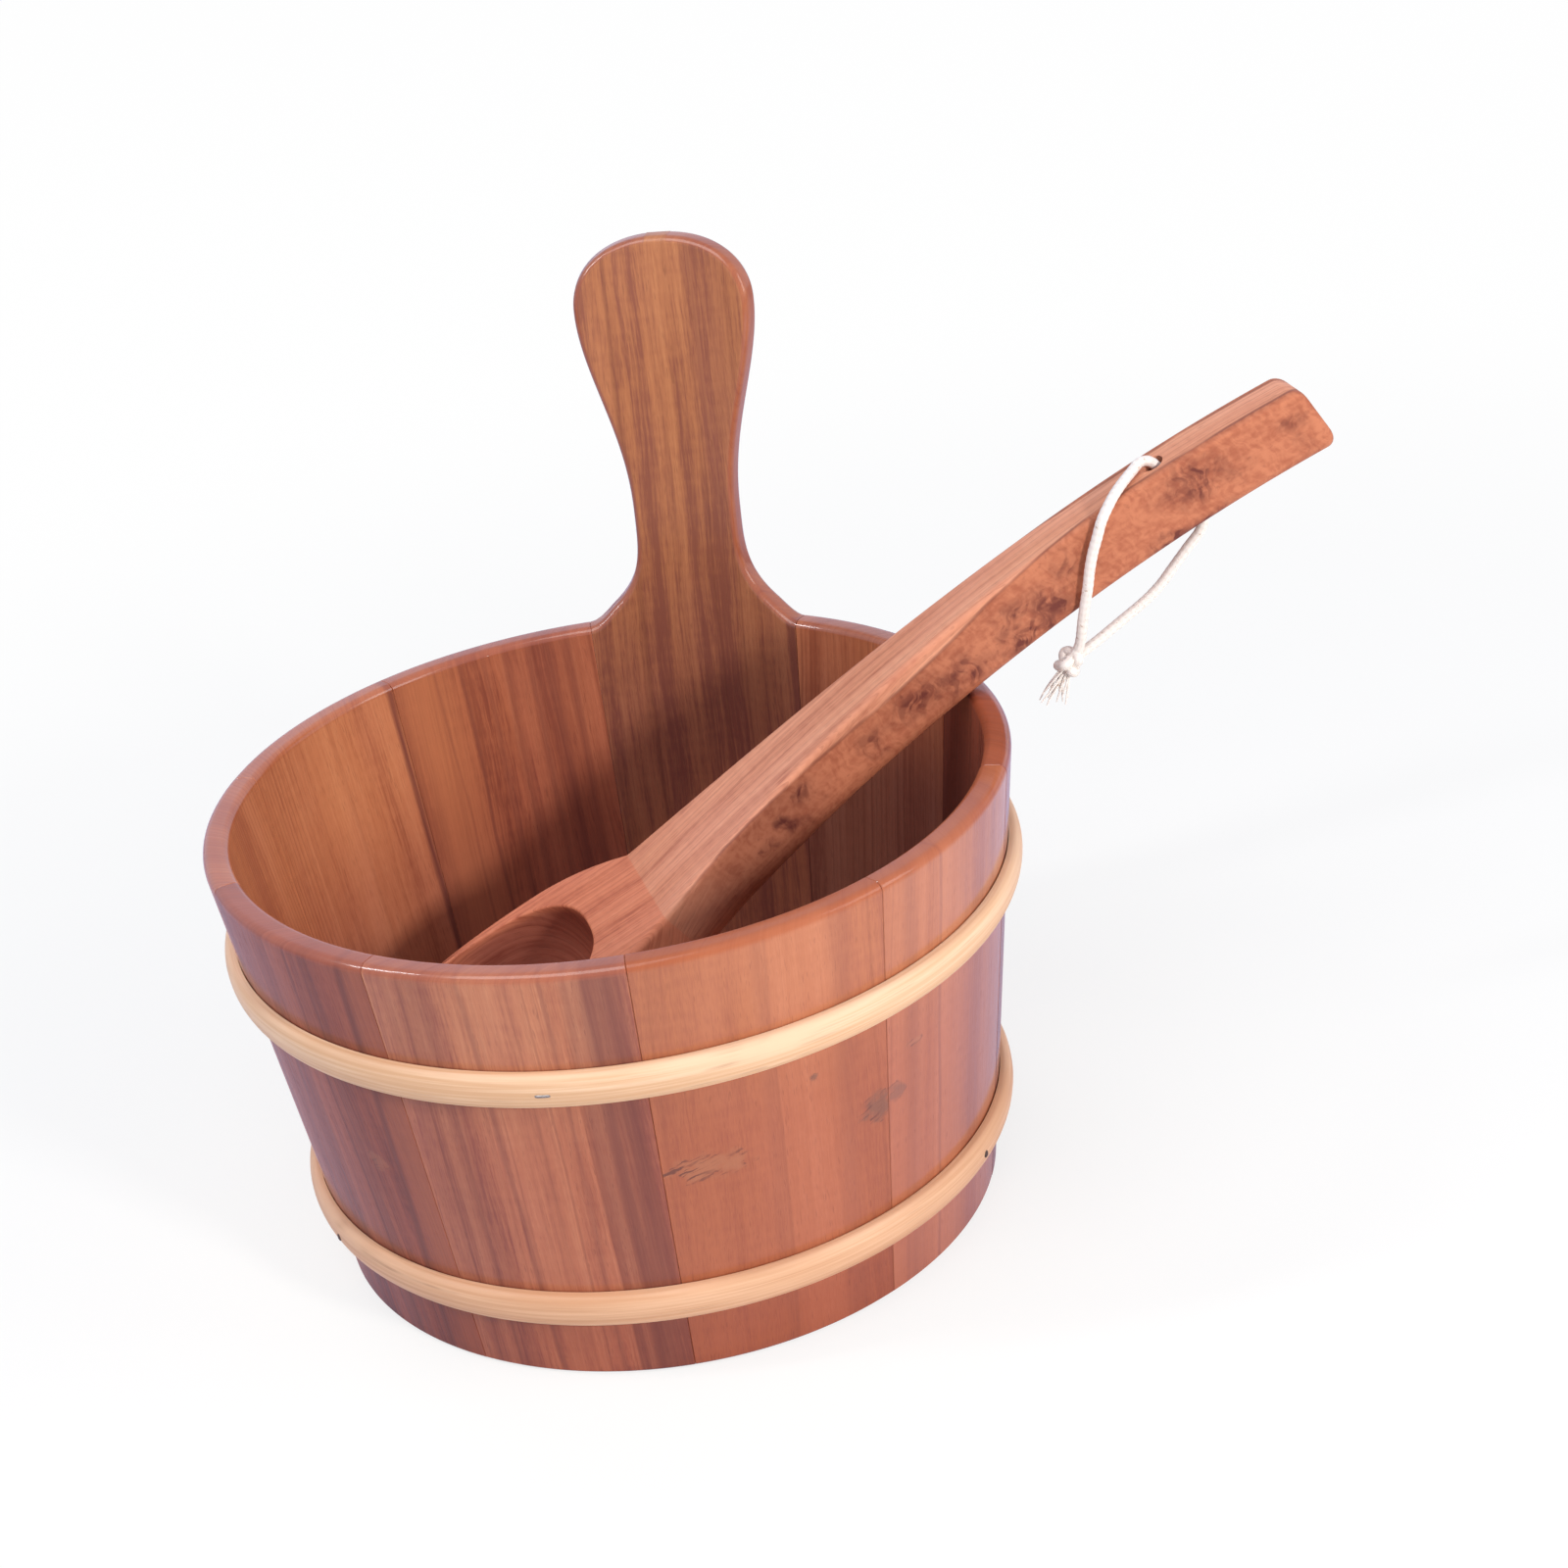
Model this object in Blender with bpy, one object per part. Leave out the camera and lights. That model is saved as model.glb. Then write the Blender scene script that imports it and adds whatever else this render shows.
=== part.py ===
# Sauna bucket: ten staves held by two hoops round a base of three boards,
# with one stave carried up as the handle and a carved ladle resting inside.
# +Z is up, the handle stave is towards +Y and the foot stands on Z = 0.

from math import acos, cos, pi, radians, sin, tan

import bmesh
import bpy
from mathutils import Euler, Matrix, Vector

# Driving dimensions, in metres and radians

# Fits
GAP = 0.0003                # between two pieces that touch
PEG_PLAY = 0.0003           # between a peg or fastener and its hole

# Bucket wall
RIM_RADIUS = 0.125          # outside, at the rim
FOOT_RADIUS = 0.1062        # outside, at the foot
WALL_HEIGHT = 0.1476
WALL_THICKNESS = 0.0085
RIM_ROUND_OUTSIDE = 0.0030
RIM_ROUND_INSIDE = 0.0022
FOOT_CHAMFER = 0.0012
STAVE_COUNT = 10
STAVE_STEPS = 8             # flats across one stave
HANDLE_AZIMUTH = pi / 2

# Handle, as heights above the rim and half widths
HANDLE_HEIGHT = 0.129
HANDLE_NECK_HEIGHT = 0.037
HANDLE_NECK_HALF = 0.0188
HANDLE_PADDLE_HEIGHT = 0.106
HANDLE_PADDLE_HALF = 0.0317
HANDLE_FILLET_POWER = 3.6   # how tightly the rim sweeps up into the neck
HANDLE_SWELL_POWER = 1.15   # how late the neck swells into the paddle
HANDLE_TOP_POWER = 2.2      # how square the paddle's top is
HANDLE_TOP_HALF = 0.004     # half width of the short flat at the very top

# Base
BASE_UNDERSIDE = 0.0195     # height of the boards' lower face above the foot
BASE_THICKNESS = 0.012
CROZE_DEPTH = 0.0030        # groove in the staves that holds the base
BASE_BOARDS = 3

# Hoops
HOOP_WIDTH = 0.0117
HOOP_THICKNESS = 0.0044
HOOP_EDGE = 0.0008          # thickness left at the strip's upper and lower edges
UPPER_HOOP_HEIGHT = 0.1094
LOWER_HOOP_HEIGHT = 0.0272
HOOP_STEPS = 80
HOOP_SCARF = 0.9            # slant of the joint between the hoop's two ends
HOOP_JOINT_UPPER = radians(60)
HOOP_JOINT_LOWER = radians(118)
HOOP_JOINT_STAPLE = radians(6.3)    # from the joint's middle round to its staple

# Pegs
STAVE_PEG_RADIUS = 0.0017
STAVE_PEG_LENGTH = 0.016
STAVE_PEG_LOW = 0.058
STAVE_PEG_HIGH = 0.128
BASE_PEG_RADIUS = 0.0020
BASE_PEG_LENGTH = 0.020
BASE_PEG_SPREAD = 0.044     # from the middle of the base, along a board joint

# Hoop fasteners
STAPLE_SPAN = 0.0052
STAPLE_WIRE = 0.0010
BRAD_SHANK_RADIUS = 0.0006
BRAD_HEAD_RADIUS = 0.0012
BRAD_HEAD_THICKNESS = 0.0006
FASTENER_BITE = 0.0025      # depth into the stave
FASTENER_PROUD = 0.0004     # head or crown above the hoop
STAPLE_AZIMUTH = radians(-85.3)
BRAD_LEFT_AZIMUTH = radians(-137)
BRAD_RIGHT_AZIMUTH = radians(-13.5)

# Ladle, with its own X along the handle from the back edge of the bowl,
# Y across it and Z up from its top face
LADLE_HANDLE = 0.2518
LADLE_HALF_WIDTH = 0.0085
LADLE_DEPTH = 0.0257
LADLE_ARCH = 0.0365         # drop of the handle's end below a straight line
LADLE_ARCH_POWER = 2.38
LADLE_END_LEAN = 0.06       # slant of the end's face, square to the arch there
LADLE_EDGE_ROUND = 0.0020
LADLE_UNDER_ROUND = 0.0040
LADLE_END_ROUND = 0.0038
FLARE_LENGTH = 0.166        # handle widening towards the bowl
FLARE_HALF_WIDTH = 0.0222
BOWL_TILT = radians(13.8)   # bowl's top face against the handle's
BOWL_LENGTH = 0.096
BOWL_SHOULDER = 0.0326      # from the back edge to the widest place
BOWL_HALF_WIDTH = 0.0325
BOWL_DROP = 0.0152          # bowl's floor below the handle's underside
BOWL_TIP_RUN = 0.032        # from the lowest place to the tip
BOWL_UNDER_ROUND = 0.023
BOWL_TIP_POWER = 2.5
BOWL_BACK_WALL = 0.0212     # wood left round the hollow, at the bowl's top face
BOWL_TIP_WALL = 0.0075
BOWL_SIDE_WALL = 0.0045
BOWL_FLOOR_WALL = 0.0150
HOLLOW_POWER = 2.5
CORD_HOLE_AT = 0.2046       # along the handle
CORD_HOLE_RADIUS = 0.0031
LADLE_YAW = radians(28.4)
LADLE_ROLL = radians(3.5)
LADLE_PLACE = (0.0062, 0.0012)

# Cord, in the ladle's own frame: along the handle, across it, above its top face
CORD_RADIUS = 0.00165
CORD_POINTS = 72
CORD_UPPER_ROUTE = (
    (0.1472, -0.0091, -0.0358),
    (0.1500, -0.0098, -0.0331),
    (0.1543, -0.0106, -0.0276),
    (0.1579, -0.0112, -0.0233),
    (0.1628, -0.0116, -0.0178),
    (0.1669, -0.0116, -0.0130),
    (0.1712, -0.0116, -0.0085),
    (0.1759, -0.0116, -0.0043),
    (0.1801, -0.0113, -0.0007),
    (0.1846, -0.0098, 0.0014),
    (0.1887, -0.0074, 0.0023),
    (0.1934, -0.0041, 0.0023),
    (0.1978, -0.0017, 0.0024),
    (0.2013, 0.0000, 0.0025),
    (0.2037, 0.0000, 0.0013),
    (0.2046, 0.0000, -0.0025),
)
# The same for the lower strand, but below the handle's underside
CORD_LOWER_ROUTE = (
    (0.2046, 0.0000, 0.0000),
    (0.2039, 0.0000, 0.0030),
    (0.2005, -0.0005, 0.0056),
    (0.1945, -0.0010, 0.0078),
    (0.1866, -0.0016, 0.0108),
    (0.1797, -0.0023, 0.0132),
    (0.1725, -0.0031, 0.0143),
    (0.1625, -0.0042, 0.0145),
    (0.1545, -0.0057, 0.0141),
    (0.1487, -0.0071, 0.0133),
)
KNOT_PLACE = (0.1425, -0.0078, -0.0385)
KNOT_RADII = (0.0050, 0.0043, 0.0046)
KNOT_RIDGE = 0.10           # how far the wraps stand out of the knot
TAIL_RADIUS = 0.0014
TAIL_SAG = 0.0015
TAIL_REACHES = ((-0.0150, 0.0005, -0.0030), (-0.0115, -0.0012, -0.0075))

# Colours
CEDAR_TONES = (
    (0.36, 0.125, 0.065),
    (0.31, 0.105, 0.055),
    (0.40, 0.145, 0.075),
    (0.34, 0.110, 0.060),
)
HANDLE_CEDAR = (0.33, 0.135, 0.060)
BASE_CEDAR = (0.38, 0.150, 0.080)
LADLE_CEDAR = (0.42, 0.150, 0.080)
RATTAN = (0.82, 0.55, 0.27)
BAMBOO = (0.70, 0.52, 0.28)
STEEL = (0.45, 0.44, 0.43)
COTTON = (0.86, 0.82, 0.74)

# Worked out from the driving dimensions
WALL_SLOPE = (RIM_RADIUS - FOOT_RADIUS) / WALL_HEIGHT
STAVE_ANGLE = 2 * pi / STAVE_COUNT
BASE_TOP = BASE_UNDERSIDE + BASE_THICKNESS
CROZE_RADIUS = FOOT_RADIUS + WALL_SLOPE * BASE_UNDERSIDE - WALL_THICKNESS + CROZE_DEPTH
BASE_RADIUS = CROZE_RADIUS * cos(STAVE_ANGLE / STAVE_STEPS / 2) - GAP
BOWL_FLOOR = BOWL_LENGTH - BOWL_TIP_RUN
BOWL_DEPTH = (BOWL_FLOOR * tan(BOWL_TILT) + LADLE_DEPTH + BOWL_DROP) * cos(BOWL_TILT)
HOLLOW_LENGTH = BOWL_LENGTH - BOWL_BACK_WALL - BOWL_TIP_WALL
HOLLOW_HALF_WIDTH = BOWL_HALF_WIDTH - BOWL_SIDE_WALL
HOLLOW_DEPTH = BOWL_DEPTH - BOWL_FLOOR_WALL
STAVE_HALF_ANGLE = STAVE_ANGLE / 2 - GAP / 2 / (FOOT_RADIUS - WALL_THICKNESS)


# Helpers

def clear_scene():
    for obj in list(bpy.data.objects):
        bpy.data.objects.remove(obj, do_unlink=True)


def make_material(name, colour, roughness, metallic=0.0):
    material = bpy.data.materials.new(name)
    material.use_nodes = True
    shader = material.node_tree.nodes["Principled BSDF"]
    shader.inputs["Base Color"].default_value = (*colour, 1.0)
    shader.inputs["Roughness"].default_value = roughness
    shader.inputs["Metallic"].default_value = metallic
    return material


def add_object(name, bm, parent, material=None):
    """The bmesh as a named object, with normals outwards and round faces shaded smooth."""
    bmesh.ops.recalc_face_normals(bm, faces=bm.faces)
    mesh = bpy.data.meshes.new(name)
    bm.to_mesh(mesh)
    bm.free()
    mesh.shade_smooth()
    mesh.set_sharp_from_angle(angle=radians(35))
    if material:
        mesh.materials.append(material)
    obj = bpy.data.objects.new(name, mesh)
    bpy.context.scene.collection.objects.link(obj)
    obj.parent = parent
    return obj


def add_cutter(name, bm, parent):
    cutter = add_object(name, bm, parent)
    cutter.hide_render = True
    cutter.display_type = "WIRE"
    return cutter


def cut(obj, cutter):
    boolean = obj.modifiers.new(cutter.name, "BOOLEAN")
    boolean.operation = "DIFFERENCE"
    boolean.solver = "EXACT"
    boolean.object = cutter


def polar(radius, azimuth, height):
    return Vector((radius * cos(azimuth), radius * sin(azimuth), height))


def fractions(count):
    """count + 1 even steps from 0 to 1."""
    return [i / count for i in range(count + 1)]


def loft(bm, sections):
    """A closed solid through sections with the same number of points each."""
    rings = [[bm.verts.new(point) for point in section] for section in sections]
    for ring, following in zip(rings, rings[1:]):
        for i in range(len(ring)):
            bm.faces.new((ring[i - 1], ring[i], following[i], following[i - 1]))
    bm.faces.new(rings[0])
    bm.faces.new(rings[-1])
    return rings


def cylinder(bm, centre, direction, radius, length, sides=10):
    """A straight round bar about its centre."""
    turn = Vector(direction).to_track_quat("Z", "Y")
    sections = []
    for end in (-0.5, 0.5):
        ring = [polar(radius, 2 * pi * i / sides, end * length) for i in range(sides)]
        sections.append([Vector(centre) + turn @ point for point in ring])
    loft(bm, sections)


# Bucket wall

def wall_radius(height):
    """Outside of the wall at a height, carried on above the rim for the handle."""
    return FOOT_RADIUS + WALL_SLOPE * height


def rim_edge():
    """The rim's rounded edge from outside to inside, as (distance in from the edge, depth in the wall)."""
    points = []
    for t in fractions(3):
        angle = t * pi / 2
        points.append((RIM_ROUND_OUTSIDE * (1 - sin(angle)), RIM_ROUND_OUTSIDE * (1 - cos(angle))))
    for t in fractions(3):
        angle = (1 - t) * pi / 2
        depth = WALL_THICKNESS - RIM_ROUND_INSIDE * (1 - cos(angle))
        points.append((RIM_ROUND_INSIDE * (1 - sin(angle)), depth))
    return points


def wall_profile():
    """Radius and height round one stave below the rim's edge, from outside down and up the inside."""
    def inside(height):
        return wall_radius(height) - WALL_THICKNESS

    groove_low = BASE_UNDERSIDE - GAP
    groove_high = BASE_TOP + GAP
    return [
        (wall_radius(FOOT_CHAMFER), FOOT_CHAMFER),
        (FOOT_RADIUS - FOOT_CHAMFER, 0.0),
        (inside(0.0), 0.0),
        (inside(groove_low), groove_low),
        (CROZE_RADIUS, groove_low),
        (CROZE_RADIUS, groove_high),
        (inside(groove_high), groove_high),
    ]


def stave_azimuths(centre):
    return [centre + STAVE_HALF_ANGLE * (2 * t - 1) for t in fractions(STAVE_STEPS)]


def plain_stave(name, centre, parent, material):
    rim = [(wall_radius(WALL_HEIGHT - inset) - depth, WALL_HEIGHT - inset) for inset, depth in rim_edge()]
    profile = wall_profile() + rim[::-1]
    bm = bmesh.new()
    loft(bm, [[polar(r, azimuth, z) for r, z in profile] for azimuth in stave_azimuths(centre)])
    return add_object(name, bm, parent, material)


def handle_outline():
    """Half width and height above the rim, from the stave's edge up to the middle of the top."""
    stave_half = RIM_RADIUS * STAVE_HALF_ANGLE
    points = []
    for t in (0.0, 0.012, 0.05, 0.12, 0.22, 0.36, 0.52, 0.72):
        half = HANDLE_NECK_HALF + (stave_half - HANDLE_NECK_HALF) * (1 - t) ** HANDLE_FILLET_POWER
        points.append((half, HANDLE_NECK_HEIGHT * t))
    for t in fractions(7):
        late = t ** HANDLE_SWELL_POWER
        ease = late * late * (3 - 2 * late)
        half = HANDLE_NECK_HALF + (HANDLE_PADDLE_HALF - HANDLE_NECK_HALF) * ease
        points.append((half, HANDLE_NECK_HEIGHT + (HANDLE_PADDLE_HEIGHT - HANDLE_NECK_HEIGHT) * t))
    top_rise = HANDLE_HEIGHT - HANDLE_PADDLE_HEIGHT
    steps = 7
    for i in range(1, steps + 1):
        angle = pi / 2 * i / steps
        half = HANDLE_PADDLE_HALF * max(cos(angle), 0.0) ** (2 / HANDLE_TOP_POWER)
        rise = top_rise * sin(angle) ** (2 / HANDLE_TOP_POWER)
        points.append((max(half, HANDLE_TOP_HALF), HANDLE_PADDLE_HEIGHT + rise))
    return points


def outline_normals(points):
    """Outward directions at the outline's points, level at the stave's edge and upright at the top."""
    normals = [(0.0, 1.0)]
    for before, after in zip(points, points[2:]):
        along = Vector((after[0] - before[0], after[1] - before[1])).normalized()
        normals.append((along.y, -along.x))
    normals.append((0.0, 1.0))
    return normals


def handle_stave(name, centre, parent, material):
    """A stave carried up through a neck into a paddle, with the rim's rounding run all the way round it."""
    bm = bmesh.new()
    azimuths = stave_azimuths(centre)
    edge = rim_edge()
    outline = handle_outline()
    normals = outline_normals(outline)

    def on_handle(side, half, height, away, inset, depth):
        level = WALL_HEIGHT + height - away[1] * inset
        angle = side * (half - away[0] * inset) / wall_radius(WALL_HEIGHT + height)
        return polar(wall_radius(level) - depth, centre + angle, level)

    # The rounded edge, as one strip of points up each side
    strips = {}
    for side in (-1, 1):
        strips[side] = [
            [bm.verts.new(on_handle(side, half, height, away, inset, depth)) for inset, depth in edge]
            for (half, height), away in zip(outline, normals)
        ]

    # Rungs across the outer and inner faces, in step with the wall's flats
    def rung(index, k):
        inset, depth = edge[k]
        (half, height), away = outline[index], normals[index]
        verts = [strips[-1][index][k]]
        for t in fractions(STAVE_STEPS)[1:-1]:
            level = WALL_HEIGHT + height - away[1] * inset
            reach = (half - away[0] * inset) / wall_radius(WALL_HEIGHT + height)
            verts.append(bm.verts.new(polar(wall_radius(level) - depth, centre + reach * (2 * t - 1), level)))
        verts.append(strips[1][index][k])
        return verts

    last = len(outline) - 1
    for k in (0, len(edge) - 1):
        rungs = [rung(index, k) for index in range(last)]
        for lower, upper in zip(rungs, rungs[1:]):
            for i in range(STAVE_STEPS):
                bm.faces.new((lower[i], lower[i + 1], upper[i + 1], upper[i]))
        bm.faces.new(rungs[-1] + [strips[1][last][k], strips[-1][last][k]])
        strips[k] = rungs[0]

    for side in (-1, 1):
        for low, high in zip(strips[side], strips[side][1:]):
            for k in range(len(edge) - 1):
                bm.faces.new((low[k], low[k + 1], high[k + 1], high[k]))
    for k in range(len(edge) - 1):
        left, right = strips[-1][last], strips[1][last]
        bm.faces.new((left[k], left[k + 1], right[k + 1], right[k]))

    # The wall below the rim, hung from the lowest rungs
    profile = wall_profile()
    columns = [[bm.verts.new(polar(r, azimuth, z)) for r, z in profile] for azimuth in azimuths]
    columns = [
        [outer, *column, inner]
        for outer, column, inner in zip(strips[0], columns, strips[len(edge) - 1])
    ]
    for column, following in zip(columns, columns[1:]):
        for i in range(len(column) - 1):
            bm.faces.new((column[i], column[i + 1], following[i + 1], following[i]))
    for side, column in ((-1, columns[0]), (1, columns[-1])):
        bm.faces.new(column + strips[side][0][-2:0:-1])
    return add_object(name, bm, parent, material)


def stave_peg_places():
    """Number, height, centre and direction of each peg across a joint between two staves."""
    places = []
    for joint in range(STAVE_COUNT):
        azimuth = HANDLE_AZIMUTH + STAVE_ANGLE * (joint + 0.5)
        for level, height in (("low", STAVE_PEG_LOW), ("high", STAVE_PEG_HIGH)):
            centre = polar(wall_radius(height) - WALL_THICKNESS / 2, azimuth, height)
            places.append((f"stave_peg_{level}_{joint + 1}", centre, (-sin(azimuth), cos(azimuth), 0.0)))
    return places


# Base

def board_outline(low, high):
    """Corner points of the slice of the base disc between two X values."""
    start = acos(min(high / BASE_RADIUS, 1.0))
    end = acos(max(low / BASE_RADIUS, -1.0))
    upper = [start + (end - start) * t for t in fractions(12)]
    lower = [-angle for angle in reversed(upper)]
    angles = upper + [angle for angle in lower if 1e-6 < -angle < pi - 1e-6]
    return [(BASE_RADIUS * cos(angle), BASE_RADIUS * sin(angle)) for angle in angles]


def base_joints():
    width = 2 * BASE_RADIUS / BASE_BOARDS
    return [-BASE_RADIUS + width * i for i in range(1, BASE_BOARDS)]


def base_board(name, index, parent, material):
    joints = base_joints()
    low = joints[index - 1] + GAP / 2 if index else -BASE_RADIUS
    high = joints[index] - GAP / 2 if index < len(joints) else BASE_RADIUS
    outline = board_outline(low, high)
    bm = bmesh.new()
    loft(bm, [[Vector((x, y, z)) for x, y in outline] for z in (BASE_UNDERSIDE, BASE_TOP)])
    return add_object(name, bm, parent, material)


def base_peg_places():
    places = []
    for x in base_joints():
        for y in (-BASE_PEG_SPREAD, BASE_PEG_SPREAD):
            centre = Vector((x, y, BASE_UNDERSIDE + BASE_THICKNESS / 2))
            places.append((f"base_peg_{len(places) + 1}", centre, (1.0, 0.0, 0.0)))
    return places


# Pegs and their holes

def add_pegs(places, radius, length, parent, material):
    for name, centre, direction in places:
        bm = bmesh.new()
        cylinder(bm, centre, direction, radius, length)
        add_object(name, bm, parent, material)


def peg_hole_cutter(name, places, radius, length, parent):
    bm = bmesh.new()
    for _, centre, direction in places:
        cylinder(bm, centre, direction, radius + PEG_PLAY, length + 2 * PEG_PLAY)
    return add_cutter(name, bm, parent)


# Hoops

def hoop_inside(height):
    """Radius of the hoop's inner face, clear of the wall's corners between flats."""
    return wall_radius(height) / cos(pi / HOOP_STEPS) + GAP


def hoop(name, middle, joint, parent, material):
    """A half-round strip bent round the wall, its two ends meeting in a slanted joint."""
    profile = [(0.0, -0.5), (0.0, 0.5)]
    for t in fractions(6):
        angle = pi * t
        profile.append((HOOP_EDGE + (HOOP_THICKNESS - HOOP_EDGE) * sin(angle), 0.5 * cos(angle)))
    turn = 2 * pi - GAP / wall_radius(middle)
    bm = bmesh.new()
    sections = []
    for t in fractions(HOOP_STEPS):
        section = []
        for out, up in profile:
            height = middle + up * HOOP_WIDTH
            slant = up * HOOP_WIDTH * HOOP_SCARF / wall_radius(middle)
            section.append(polar(hoop_inside(height) + out, joint + turn * t + slant, height))
        sections.append(section)
    loft(bm, sections)
    return add_object(name, bm, parent, material)


# Hoop fasteners

def fastener_frame(azimuth, height):
    """X along the hoop, Y up and Z outwards, from the hoop's crest."""
    out = polar(1.0, azimuth, 0.0)
    along = Vector((-sin(azimuth), cos(azimuth), 0.0))
    crest = out * (hoop_inside(height) + HOOP_THICKNESS) + Vector((0.0, 0.0, height))
    frame = Matrix((along, Vector((0.0, 0.0, 1.0)), out)).transposed().to_4x4()
    return Matrix.Translation(crest) @ frame


def fastener_depth(height):
    """From the hoop's crest to the fastener's tip in the stave."""
    return hoop_inside(height) + HOOP_THICKNESS - wall_radius(height) + FASTENER_BITE


def staple_shape(bm, azimuth, height, play=0.0):
    half = STAPLE_SPAN / 2 + play
    wire = STAPLE_WIRE + 2 * play
    crown = FASTENER_PROUD + 4 * play
    under = FASTENER_PROUD - STAPLE_WIRE - play
    tip = -fastener_depth(height) - play
    outline = [
        (-half, crown), (-half, tip), (wire - half, tip), (wire - half, under),
        (half - wire, under), (half - wire, tip), (half, tip), (half, crown),
    ]
    frame = fastener_frame(azimuth, height)
    loft(bm, [[frame @ Vector((x, y, z)) for x, z in outline] for y in (-wire / 2, wire / 2)])


def brad_shape(bm, azimuth, height, play=0.0):
    frame = fastener_frame(azimuth, height)
    shank = BRAD_SHANK_RADIUS + play
    head = BRAD_HEAD_RADIUS + play
    under = FASTENER_PROUD - BRAD_HEAD_THICKNESS - play
    rings = (
        (shank, -fastener_depth(height) - play), (shank, under),
        (head, under), (head, FASTENER_PROUD + 4 * play),
    )
    loft(bm, [[frame @ polar(radius, 2 * pi * i / 8, z) for i in range(8)] for radius, z in rings])


def fasteners():
    """Name, shape, azimuth and height of each staple and brad."""
    return (
        ("upper_hoop_staple", staple_shape, STAPLE_AZIMUTH, UPPER_HOOP_HEIGHT),
        ("upper_hoop_joint_staple", staple_shape, HOOP_JOINT_UPPER + HOOP_JOINT_STAPLE, UPPER_HOOP_HEIGHT),
        ("lower_hoop_joint_staple", staple_shape, HOOP_JOINT_LOWER + HOOP_JOINT_STAPLE, LOWER_HOOP_HEIGHT),
        ("lower_hoop_brad_left", brad_shape, BRAD_LEFT_AZIMUTH, LOWER_HOOP_HEIGHT),
        ("lower_hoop_brad_right", brad_shape, BRAD_RIGHT_AZIMUTH, LOWER_HOOP_HEIGHT),
    )


# Ladle

def ladle_top(x):
    """Height of the ladle's top face along it."""
    if x < 0:
        return -x * tan(BOWL_TILT)
    return -LADLE_ARCH * (x / LADLE_HANDLE) ** LADLE_ARCH_POWER


def tip_round(x, start):
    """1 up to where the bowl's end starts to round off, falling to 0 at its tip."""
    t = min(max((-x - start) / (BOWL_LENGTH - start), 0.0), 1.0)
    return (1 - t ** BOWL_TIP_POWER) ** (1 / BOWL_TIP_POWER)


def ladle_half_width(x):
    if x >= 0:
        flare = max(0.0, 1 - x / FLARE_LENGTH)
        return LADLE_HALF_WIDTH + (FLARE_HALF_WIDTH - LADLE_HALF_WIDTH) * flare ** 2
    if x > -BOWL_SHOULDER:
        return BOWL_HALF_WIDTH - (BOWL_HALF_WIDTH - FLARE_HALF_WIDTH) * (1 + x / BOWL_SHOULDER) ** 2
    return BOWL_HALF_WIDTH * tip_round(x, BOWL_SHOULDER)


def ladle_bottom(x):
    if x >= 0:
        return ladle_top(x) - LADLE_DEPTH
    t = min(-x / BOWL_FLOOR, 1.0)
    floor = -LADLE_DEPTH - BOWL_DROP * t * t * (3 - 2 * t)
    return ladle_top(x) + (floor - ladle_top(x)) * tip_round(x, BOWL_FLOOR)


def under_round(x):
    """Rounding of the underside's corners: small on the handle and large under the bowl."""
    t = min(max(1 - x / FLARE_LENGTH, 0.0), 1.0)
    wide = LADLE_UNDER_ROUND + (BOWL_UNDER_ROUND - LADLE_UNDER_ROUND) * t * t
    return min(wide, 0.8 * ladle_half_width(x), 0.6 * (ladle_top(x) - ladle_bottom(x)))


def ladle_section(x, side_in=0.0, end_in=0.0):
    """Points round the ladle at one place along it, shrunk by an amount at the sides and at top and bottom."""
    half = ladle_half_width(x) - side_in
    top = ladle_top(x) - end_in
    bottom = ladle_bottom(x) + end_in
    edge = min(LADLE_EDGE_ROUND, 0.3 * half, 0.3 * (top - bottom))
    under = min(under_round(x), 0.6 * (top - bottom))
    points = []
    for t in fractions(2):
        angle = pi / 2 * t
        points.append((half - edge * (1 - sin(angle)), top - edge * (1 - cos(angle))))
    for t in fractions(4):
        angle = pi / 2 * t
        points.append((half - under * (1 - cos(angle)), bottom + under * (1 - sin(angle))))
    lean = LADLE_END_LEAN * max(x / LADLE_HANDLE, 0.0) ** 2
    shifts = [lean * (z - (top + bottom) / 2) for _, z in points]
    placed = [(x + shift, y, z + ladle_top(x + shift) - ladle_top(x)) for shift, (y, z) in zip(shifts, points)]
    return [Vector(point) for point in placed] + [Vector((a, -y, z)) for a, y, z in reversed(placed)]


def ladle_stations():
    """Places along the ladle for its sections, closer together where it turns."""
    tip = BOWL_LENGTH - BOWL_SHOULDER
    stations = [-BOWL_SHOULDER - tip * sin(angle) for angle in (1.46, 1.33, 1.16, 0.95, 0.7, 0.35)]
    stations += [-BOWL_SHOULDER * (1 - t) for t in fractions(4)]
    straight = LADLE_HANDLE - LADLE_END_ROUND
    stations += [straight * t for t in fractions(14)[1:]]
    return stations


def ladle_sections():
    sections = [ladle_section(x) for x in ladle_stations()]
    for angle in (pi / 6, pi / 3, pi / 2):
        x = LADLE_HANDLE - LADLE_END_ROUND * (1 - sin(angle))
        shrink = LADLE_END_ROUND * (1 - cos(angle))
        sections.append(ladle_section(x, 0.5 * shrink, shrink))
    return sections


def ladle(name, parent, material):
    bm = bmesh.new()
    loft(bm, ladle_sections())
    return add_object(name, bm, parent, material)


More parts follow.
